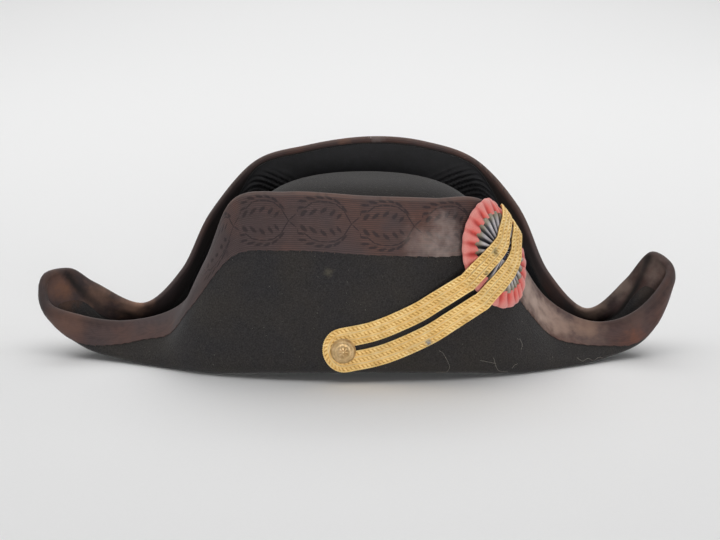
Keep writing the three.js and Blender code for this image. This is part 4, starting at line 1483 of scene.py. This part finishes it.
@dataclass
class Cockade:
    """Pleated rosette on the corner of the front flap, bent round it and pulled back by the loop."""

    x: float = 96.2
    y: float = -71.2
    z: float = 83.6
    facing: float = 55
    lean: float = 13.5
    half_width: float = 36
    half_height: float = 38
    bend_left: float = 100
    bend_right: float = 160
    pull_angle: float = 45
    pull_back: float = 6.5
    pull_from: float = 0.5
    edge_step: float = 0.1
    unevenness: float = 0.3
    flat_level: float = 0.6
    flat_reach: float = 0.7
    curl: float = 0.9
    curl_reach: float = 0.12
    least_cut: float = 10
    # The ridges that the cords lie on: their heights at two shares of the radius.
    seat_shares: Span = (0.725, 1)
    seat_heights: Span = (4.6, 2.3)

    def on(self, right: Array, up: Array, out: Array) -> Array:
        """Places on the cockade.

        Args:
            right: Distances to the right of the middle of its back.
            up: Distances above it.
            out: Distances in front of it.

        Returns:
            The places in the hat's frame.
        """
        facing, lean, pull = (math.radians(turn) for turn in (self.facing, self.lean, self.pull_angle))
        to_edge = right / self.half_width * math.cos(pull) + up / self.half_height * math.sin(pull)
        out = out - self.pull_back * smooth(to_edge, self.pull_from, 1)
        bend = np.where(right < 0, self.bend_left, self.bend_right)
        along = (bend + out) * np.sin(right / bend)
        ahead = (bend + out) * np.cos(right / bend) - bend
        forward = ahead * math.cos(lean) - up * math.sin(lean)
        rise = up * math.cos(lean) + ahead * math.sin(lean)
        return np.stack([
            self.x + along * math.cos(facing) + forward * math.sin(facing),
            self.y + along * math.sin(facing) - forward * math.cos(facing), self.z + rise], -1)

    def edge_from(self, start: Array, way: Array, share: float) -> Array:
        """The place where a line over the cockade's face reaches a share of its radius.

        Args:
            start: Where the line starts, to the right of and above the middle.
            way: The way that it runs.
            share: The share.

        Returns:
            The place, to the right of and above the middle.
        """
        spots = start + way * np.arange(0, self.half_height, self.edge_step)[:, None]
        reach = np.hypot(spots[:, 0] / self.half_width, spots[:, 1] / self.half_height)
        return spots[np.argmax(reach >= share)]

    def ridge_height(self, share: float) -> float:
        """Height of the cockade's ridges at a share of its radius."""
        return float(np.interp(share, self.seat_shares, self.seat_heights))

    def pleats(self, ring: Ring, down: Array) -> tuple[Array, Array]:
        """Lay uneven pleats round a ring.

        Args:
            ring: Its sizes.
            down: Shares of the way from its outer to its inner edge.

        Returns:
            The angle of each column, and each point's share of the way from a hollow to a ridge.
        """
        random = np.random.default_rng(ring.seed)
        widths = 1 + random.uniform(-self.unevenness, self.unevenness, ring.pleats)
        starts = np.concatenate([[0], np.cumsum(widths)]) / widths.sum()
        heights = 1 - random.uniform(0, self.unevenness, ring.pleats)
        phase = np.tile(np.arange(ring.samples) / ring.samples, ring.pleats)
        pleat = np.repeat(np.arange(ring.pleats), ring.samples)
        angle = 2 * math.pi * mix(starts[:-1][pleat], starts[1:][pleat], phase)
        low, high = ring.ridge_at - ring.plateau / 2, ring.ridge_at + ring.plateau / 2
        ridge = np.where(phase < ring.ridge_at, smooth(phase, 0, low), fade(phase, high, 1))
        flat = ring.flat_edge * (1 - smooth(down, 0, self.flat_reach))
        return angle, mix((ridge * heights[pleat])[:, None], self.flat_level, flat)

    def build_ring(self, ring: Ring, material: Material) -> None:
        """Make one pleated ring.

        Args:
            ring: Its sizes.
            material: Its material.
        """
        down = np.linspace(0, 1, ring.rows + 1)[None]
        angle, ridge = self.pleats(ring, down)
        share = mix(ring.outer * mix(ring.scallop, 1, ridge[:, :1]), ring.inner, down)
        hollow = mix(ring.outer_hollow, ring.inner_hollow, down)
        crest = mix(ring.outer_ridge, ring.inner_ridge, down)
        height = mix(hollow, crest, ridge) - self.curl * (1 - smooth(down, 0, self.curl_reach))
        right = self.half_width * share * np.cos(angle)[:, None]
        up = self.half_height * share * np.sin(angle)[:, None]
        face, back = (self.on(right, up, out) for out in (height, np.full_like(right, ring.back)))
        piece = make_wall(ring.name, face, back, True, {"ridge": ridge, "reach": share})
        settle(piece, ring.slot, material, ring.node)


@dataclass
class CordLine:
    """The middle line of a cord: its places, a step apart, with its fronts and widths."""

    places: Array
    fronts: Array
    widths: Array

    def __post_init__(self) -> None:
        """Work out the ways along and across the cord, and the lengths along it."""
        self.way = unit(np.gradient(self.places, axis=0))
        self.across = unit(np.cross(self.way, self.fronts))
        self.lengths = lengths_along(self.places)


@dataclass
class GoldLoop:
    """Loop of three plaited cords, down over the cockade, round the button and back."""

    cockade: Cockade
    felt: FeltBody
    width: float = 4.3
    thick: float = 2.4
    gap: float = 0.3
    leg_gap: float = 3.4
    end_squeeze: float = 0.9
    top_squeeze: float = 0.68
    lift: float = 1.1
    last_share: float = 0.82
    end_share: float = 0.89
    end_steps: int = 10
    flap_steps: int = 8
    fine_steps: int = 12
    nudge: float = 0.001
    step: float = 0.9
    pitch: float = 2.7
    slant: float = 48
    bar_lift: float = 0.34
    rope_pitch: float = 1.2
    rope_slant: float = 24
    rope_at: float = 0.37
    rope_lift: float = 0.2
    core_width: float = 0.47
    core_height: float = 0.36
    core_edge: float = 0.02
    core_points: int = 9
    wire_lift: float = 0.4
    wire_radius: float = 0.32
    wire_sides: int = 6
    rope: LaidStrands = LaidStrands(length=2.3, width=0.95, thick=1.1, jitter=0.05, seed=11)
    bar: LaidStrands = LaidStrands(length=3.8, width=1.45, thick=1.1, jitter=0.05, seed=12)
    names: ClassVar[tuple[str, ...]] = ("inner", "middle", "outer")

    def cockade_frame(self, right: float, up: float, out: float, squeeze: float) -> tuple:
        """Lay a cord on the cockade's face.

        Args:
            right: Distance to the right of the cockade's middle.
            up: Distance above it.
            out: Distance in front of the cockade's back.
            squeeze: How much the cord is squeezed.

        Returns:
            The cord's place, front and width.
        """
        steps = np.array([[0, 0], [1, 0], [0, 1]]) + (right, up)
        centre, rightward, upward = self.cockade.on(steps[:, 0], steps[:, 1], np.full(3, float(out)))
        return centre, unit(np.cross(rightward - centre, upward - centre)), self.width * squeeze

    def leg(self, offset: float) -> list[tuple]:
        """Frames of one leg at a distance to the side of the loop's line, from the button upward.

        Args:
            offset: Distance to the right of the loop's line.

        Returns:
            Places, fronts and widths, the last of them at the cockade's upper edge.
        """
        lift = self.thick / 2 + self.lift
        meeting = self.cockade_frame(*LOOP_ON_COCKADE[0], self.cockade.ridge_height(1) + lift, 1)
        shift = np.array([self.felt.crown_x, self.felt.crown_y, 0])
        places = np.array([np.array(row[:3]) + shift for row in LOOP_ON_FLAP] + [meeting[0]])
        turns = np.radians([row[3] for row in LOOP_ON_FLAP])
        fronts = np.array([*np.stack([np.sin(turns), -np.cos(turns), 0 * turns], -1), meeting[1]])
        at = np.arange(len(LOOP_ON_FLAP) * self.flap_steps) / self.flap_steps
        line, facing = through(places, at), unit(through(fronts, at))
        tangent = unit(through(places, at + self.nudge) - through(places, at - self.nudge))
        side = unit(np.cross(tangent, facing))
        frames = [(c, f, self.width) for c, f in zip(line + side * offset, facing)]
        rows = LOOP_ON_COCKADE
        for k, (row_right, row_up) in enumerate(rows):
            before, after = rows[max(0, k - 1)], rows[min(len(rows) - 1, k + 1)]
            run = np.array(after) - np.array(before)
            squeeze = mix(1, self.top_squeeze, max(row_up, 0) / self.cockade.half_height)
            right = row_right + offset * squeeze * run[1] / np.linalg.norm(run)
            up = row_up - offset * squeeze * run[0] / np.linalg.norm(run)
            share = math.hypot(right / self.cockade.half_width, up / self.cockade.half_height)
            if up > 0 and share > self.last_share:
                break
            frames.append(self.cockade_frame(right, up, self.cockade.ridge_height(share) + lift, squeeze))
            last = np.array([right, up])
        way = unit(run)
        edge = self.cockade.edge_from(last, way, self.end_share)
        out = self.cockade.ridge_height(self.end_share) + lift
        frames.append(self.cockade_frame(*edge, out, self.top_squeeze))
        return frames

    def line(self, offset: float) -> CordLine:
        """The middle line of a cord at a distance to each side of the loop's line.

        Args:
            offset: The distance.

        Returns:
            The line, from the top of the left leg round the button to the top of the right leg.
        """
        left, right = self.leg(-offset), self.leg(offset)
        middle = (left[0][0] + right[0][0]) / 2
        side = right[0][0] - middle
        along = np.cross(left[0][1], side)
        end = []
        for angle in np.linspace(0, math.pi, self.end_steps + 1):
            centre = middle - side * math.cos(angle) - along * math.sin(angle) * self.end_squeeze
            end.append((centre, left[0][1], self.width * mix(1, self.end_squeeze, math.sin(angle))))
        frames = [*left[:0:-1], *end, *right[1:]]
        centres, fronts, widths = (np.array([row[k] for row in frames]) for k in range(3))
        fine = np.linspace(0, len(frames) - 1, self.fine_steps * len(frames))
        length = lengths_along(through(centres, fine))
        even = np.interp(np.arange(0, length[-1], self.step), length, fine)
        return CordLine(through(centres, even), unit(through(fronts, even)),
                        through(widths[:, None], even)[:, 0])

    def build(self, material: Material, dark: Material, wire: Material) -> None:
        """Make the cords' cores, their plaits and the bright wires between them.

        Args:
            material: Material of the plaited thread.
            dark: Material of the cores.
            wire: Material of the wires.
        """
        first, apart = (self.leg_gap + self.width) / 2, self.width + self.gap
        for k, name in enumerate(self.names):
            cord = self.line(first + k * apart)
            self.core(name, cord, dark)
            self.plait(name, cord, material)
        for k, name in enumerate(self.names[1:]):
            between = self.line(first + (k + 1 / 2) * apart)
            laid = between.places + between.fronts * self.thick * self.wire_lift
            piece = make_tube(f"loop_wire_{name}", laid, self.wire_radius, self.wire_sides)
            settle(piece, Slot.CORD, wire)

    def core(self, name: str, cord: CordLine, material: Material) -> None:
        """Make the flattened core that the plait is worked on.

        Args:
            name: Which cord it is.
            cord: Its middle line.
            material: Its material.
        """
        turn = np.linspace(-math.pi / 2, math.pi / 2, self.core_points)[:, None, None]
        middle = cord.places + np.sin(turn) * cord.widths[None, :, None] * self.core_width * cord.across
        crown = np.cos(turn) * self.thick * self.core_height * cord.fronts
        face, back = middle + crown, middle - crown
        face[[0, -1]] += cord.fronts * self.core_edge
        back[[0, -1]] -= cord.fronts * self.core_edge
        piece = make_wall(f"loop_core_{name}", face, back, False)
        settle(piece, Slot.CORD, material, f"loop_cord_{name}")

    def plait(self, name: str, cord: CordLine, material: Material) -> None:
        """Work a row of slanting stitches along a cord, and a roped edge along each of its sides.

        Args:
            name: Which cord it is.
            cord: Its middle line.
            material: Its material.
        """
        rows = (
            ("rope_left", self.rope, -1, self.rope_at, self.rope_pitch, self.rope_slant),
            ("rope_right", self.rope, 1, self.rope_at, self.rope_pitch, -self.rope_slant),
            ("plait", self.bar, 1, 0.0, self.pitch, self.slant),
        )
        for kind, strands, side, out, pitch, turn in rows:
            at = np.arange(pitch / 2, cord.lengths[-1], pitch)
            place, front, way, across = (read_at(at, cord.lengths, values) for values in (
                cord.places, cord.fronts, cord.way, cord.across))
            width = np.interp(at, cord.lengths, cord.widths)[:, None]
            lift = self.thick * mix(self.bar_lift, self.rope_lift, out / self.rope_at)
            slant = math.radians(turn)
            points = place + across * side * width * out + front * lift
            ways = unit(way * math.cos(slant) + across * math.sin(slant))
            facing = unit(front + across * side * out)
            piece = strands.lay(f"loop_{kind}_{name}", points, ways, facing, material)
            settle(piece, Slot.CORD, material)


@dataclass
class Button:
    """Domed gilt button with a plain rosette, a beaded ring and a roped rim."""

    felt: FeltBody
    loop: GoldLoop
    radius: float = 8.5
    shank: float = 1.1
    rim_thick: float = 1.2
    dome: float = 2.6
    sharp_from: float = 60
    sides: int = 176
    rings: int = 44
    middle: float = 0.02
    # The relief's heights, and the shares of the radius where each part of it starts and ends.
    petals: int = 8
    petal_power: float = 0.7
    petal_height: float = 0.55
    petals_from: Span = (0.1, 0.22)
    petals_to: Span = (0.36, 0.58)
    eye_height: float = 0.5
    eye_to: Span = (0.05, 0.13)
    beads: int = 28
    bead_height: float = 0.42
    beads_at: float = 0.7
    bead_to: Span = (0.01, 0.06)
    ropes: int = 44
    rope_height: float = 0.35
    rope_twist: float = 40
    ropes_from: Span = (0.84, 0.9)
    relief_to: Span = (0.95, 1)

    def relief(self, share: Array, angle: Array) -> Array:
        """Height of the stamped relief.

        Args:
            share: Shares of the radius.
            angle: Angles round the button.

        Returns:
            A height for each angle and share.
        """
        petal = np.abs(np.cos(angle * self.petals / 2)) ** self.petal_power
        rosette = self.petal_height * petal * smooth(share, *self.petals_from) * fade(share, *self.petals_to)
        eye = self.eye_height * fade(share, *self.eye_to)
        bead = np.clip(np.cos(angle * self.beads), 0, 1) * fade(np.abs(share - self.beads_at), *self.bead_to)
        twist = angle * self.ropes + share * self.rope_twist
        rope = (1 + np.cos(twist)) / 2 * smooth(share, *self.ropes_from)
        stamped = rosette + eye + self.bead_height * bead + self.rope_height * rope
        return stamped * fade(share, *self.relief_to)

    def build(self, material: Material) -> None:
        """Make the button.

        Args:
            material: Its material.
        """
        neck = 2 * self.loop.gap + self.loop.thick
        face_radius = self.radius - self.rim_thick / 2
        share = np.linspace(1, self.middle, self.rings)
        angle = np.linspace(0, 2 * math.pi, self.sides, endpoint=False)[:, None]
        dome = neck + self.rim_thick + self.dome * np.sqrt(np.clip(1 - share**2, 0, 1))
        height = dome + self.relief(share[None], angle)
        start = np.array([(self.shank, 0.0), (self.shank, neck), (face_radius, neck),
                          (self.radius, neck + self.rim_thick / 2)])
        below = np.broadcast_to(start, (self.sides, *start.shape))
        radii = np.concatenate([below[..., 0], np.broadcast_to(face_radius * share, height.shape)], 1)
        rises = np.concatenate([below[..., 1], height], 1)
        x, y, z, _ = LOOP_ON_FLAP[0]
        centre = np.array([x + self.felt.crown_x, y + self.felt.crown_y + self.loop.thick / 2, z])
        points = centre + np.stack([radii * np.cos(angle), -rises, radii * np.sin(angle)], -1)
        number = np.arange(radii.size).reshape(radii.shape)
        after = np.roll(number, -1, 0)
        faces = [*np.stack([number[:, :-1], after[:, :-1], after[:, 1:], number[:, 1:]], -1).reshape(-1, 4)]
        faces += [number[:, -1], number[::-1, 0]]
        piece = make_mesh("button_stamped", points.reshape(-1, 3), faces, crease=self.sharp_from)
        settle(piece, Slot.BUTTON, material, "button")


@dataclass
class StrayThreads:
    """Lint and loose threads caught on the felt."""

    felt: FeltBody
    seed: int = 5
    specks: int = 130
    speck: LaidStrands = LaidStrands(length=0.9, width=0.1, thick=0.1, jitter=0.6, seed=4)
    speck_lift: float = 0.05
    across: Span = (-110, 150)
    heights: Span = (4, 86)
    # The front's height falls from its corner to its tip.
    corner_to_tip: Span = (80, 150)
    heights_there: Span = (86, 14)
    radius: float = 0.1
    sides: int = 5
    steps: int = 10
    thread_lift: float = 0.1
    hop: float = 0.5
    hop_turn: float = 0.7

    def build(self, material: Material) -> None:
        """Make the lint and the threads.

        Args:
            material: Their material.
        """
        random = np.random.default_rng(self.seed)
        felt = self.felt
        x, z = (random.uniform(*span, self.specks) for span in (self.across, self.heights))
        keep = z < np.interp(np.abs(x), self.corner_to_tip, self.heights_there)
        points, facing = felt.on_front(x[keep], z[keep], self.speck_lift)
        spin = unit(random.normal(size=points.shape))
        way = unit(np.cross(facing, spin))
        piece = self.speck.lay("felt_lint", points, way, facing, material)
        settle(piece, Slot.FELT, material)
        for k, row in enumerate(LOOSE_THREADS):
            line = through(np.array(row, float), np.linspace(0, len(row) - 1, self.steps * len(row)))
            points, facing = felt.on_front(line[:, 0], line[:, 1], self.radius + self.thread_lift)
            hop = self.hop * np.abs(np.sin(np.arange(len(points)) * self.hop_turn))[:, None]
            piece = make_tube(f"loose_thread_{k + 1}", points + facing * hop, self.radius, self.sides)
            settle(piece, Slot.FELT, material)


@dataclass(frozen=True)
class Softbox:
    """A square soft light: where it hangs, what it points at, the length of its side and its watts."""

    name: str
    place: Place
    target: Place
    side: float
    power: float

    def hang(self) -> None:
        """Put the light in the scene."""
        light = bpy.data.lights.new(self.name, "AREA")
        light.size = self.side * MM
        light.energy = self.power
        lamp = bpy.data.objects.new(self.name, light)
        lamp.location = Vector(self.place) * MM
        lamp.rotation_euler = (Vector(self.target) - Vector(self.place)).to_track_quat("-Z", "Y").to_euler()
        bpy.context.scene.collection.objects.link(lamp)


SOFTBOXES = (
    Softbox("top_softbox", (0, 330, 1900), AIM, side=3200, power=40),
    Softbox("far_softbox", (0, 3500, 2300), (0, 3500, 0), side=2800, power=61),
    Softbox("front_softbox", (200, -2300, 260), AIM, side=500, power=23),
    Softbox("left_softbox", (-2300, 700, 800), AIM, side=1500, power=8),
    Softbox("right_softbox", (2300, 700, 800), AIM, side=1500, power=9),
)


@dataclass
class Studio:
    """Pale paper floor, soft light and the camera at the photograph's angle."""

    distance: float = 1600
    elevation: float = 11
    focal_pixels: float = 2268.8
    image_width: float = 720
    sensor: float = 36
    floor_half: float = 9000
    floor_drop: float = 0.3
    room_light: float = 0.12

    def floor(self, material: Material) -> None:
        """Lay the paper, which runs past the picture on all sides.

        Args:
            material: Its material.
        """
        half, low = self.floor_half, -self.floor_drop
        corners = np.array([(-half, -half, low), (half, -half, low), (half, half, low), (-half, half, low)])
        paper = make_mesh("paper_floor", corners, [(0, 1, 2, 3)])
        paper.data.materials.append(material)

    def build(self) -> None:
        """Set up the floor, the lights, the surroundings and the camera."""
        paper = BackgroundPaper("matte_white_background_paper", rough=0.9, grain=2.0, depth=0.01)
        self.floor(paper.material())
        for softbox in SOFTBOXES:
            softbox.hang()
        world = bpy.data.worlds.new("white_room")
        world.use_nodes = True
        background = world.node_tree.nodes["Background"].inputs
        background["Color"].default_value = (1, 1, 1, 1)
        background["Strength"].default_value = self.room_light
        bpy.context.scene.world = world
        bpy.context.scene.view_settings.view_transform = "Standard"
        data = bpy.data.cameras.new("photo_camera")
        data.sensor_width = self.sensor
        data.lens = self.focal_pixels / self.image_width * self.sensor
        camera = bpy.data.objects.new("photo_camera", data)
        tilt = math.radians(self.elevation)
        back = Vector((0, -math.cos(tilt), math.sin(tilt)))
        camera.location = (Vector(AIM) + back * self.distance) * MM
        camera.rotation_euler = (-back).to_track_quat("-Z", "Y").to_euler()
        bpy.context.scene.collection.objects.link(camera)
        bpy.context.scene.camera = camera


def main() -> None:
    """Build the hat piece by piece."""
    logging.basicConfig(level=logging.INFO, format="%(name)s: %(message)s")
    Studio().build()
    felt = FeltBody()
    # The felt and the ribbon darken towards their painted shade colours along the creases.
    felt.build(FurFelt("black_fur_felt", rough=0.95, shine=0.2, sheen=0.12, grain=0.9, depth=0.12,
                       patches=FELT_STAINS, painted_shade="#0f0e0d").material())
    ribbon = EdgeRibbon(felt)
    ribbon.build(LaurelRibbon("faded_silk_ribbon", rough=0.72, shine=0.3, sheen=0.08, depth=0.12,
                              patches=RIBBON_WEAR_AND_LIGHT, painted_shade="#14100f",
                              period=ribbon.length / ribbon.repeats).material())
    ribbon.whip(PaleLint("brown_sewing_silk", rough=0.8, grain=0.6, light="#675248",
                         dark="#463731").material())
    BackLining(felt).build(BlackSilk("black_silk_plush", rough=0.6, shine=0.35, sheen=0.08, grain=0.7,
                                     depth=0.05).material())
    cockade = Cockade()
    # Each ribbon's hollow colour is painted shade and its crest colour a painted highlight.
    finishes = {
        Slot.RED: PleatedRibbon("coral_wool_ribbon", rough=0.85, shine=0.2, sheen=0.25, grain=0.7,
                                depth=0.12, hollow="#b8403a", body="#df6a62", crest="#e8958c",
                                outer="#dfa198", outer_from=0.9, outer_share=0.6),
        Slot.SILVER: PleatedRibbon("tarnished_silver_ribbon", rough=0.5, shine=0.5, grain=0.5, depth=0.1,
                                   hollow="#14151c", body="#44424a", crest="#f4eef2", outer="#8b8163",
                                   outer_from=0.62, outer_share=0.8, highlit_crest_from=0.42),
        Slot.BLUE: PleatedRibbon("dark_blue_silk_ribbon", rough=0.6, shine=0.4, grain=0.5, depth=0.08,
                                 hollow="#171927", body="#3a3d54", crest="#6a6c86", outer="#3a3d54"),
    }
    for ring in RINGS:
        cockade.build_ring(ring, finishes[ring.slot].material())
    loop = GoldLoop(cockade, felt)
    loop.build(GiltMetal("gilt_plaited_thread", rough=0.45, metal=0.35, grain=0.9, depth=0.03,
                         bright="#fee2a2", dull="#f2cb80", tarnish="#a8834a",
                         patches=CORD_STAINS).material(),
               GiltMetal("tarnished_gilt_core", rough=0.6, metal=0.4, grain=0.9, depth=0.03,
                         bright="#dcb066", dull="#c59a52", tarnish="#a07a40",
                         patches=CORD_STAINS).material(),
               GiltMetal("gilt_wire", rough=0.35, metal=0.6, grain=0.5, depth=0.03, bright="#f2dcae",
                         dull="#e3c285", tarnish_share=0.2, patches=CORD_STAINS).material())
    Button(felt, loop).build(GiltMetal("worn_gilt_brass", rough=0.4, metal=0.6, grain=0.6, depth=0.05,
                                       bright="#e3c596", dull="#bd9b69", tarnish="#84694a",
                                       tarnish_share=0.6).material())
    StrayThreads(felt).build(PaleLint("pale_linen_lint", rough=0.95, grain=0.5).material())


if __name__ == "__main__":
    main()
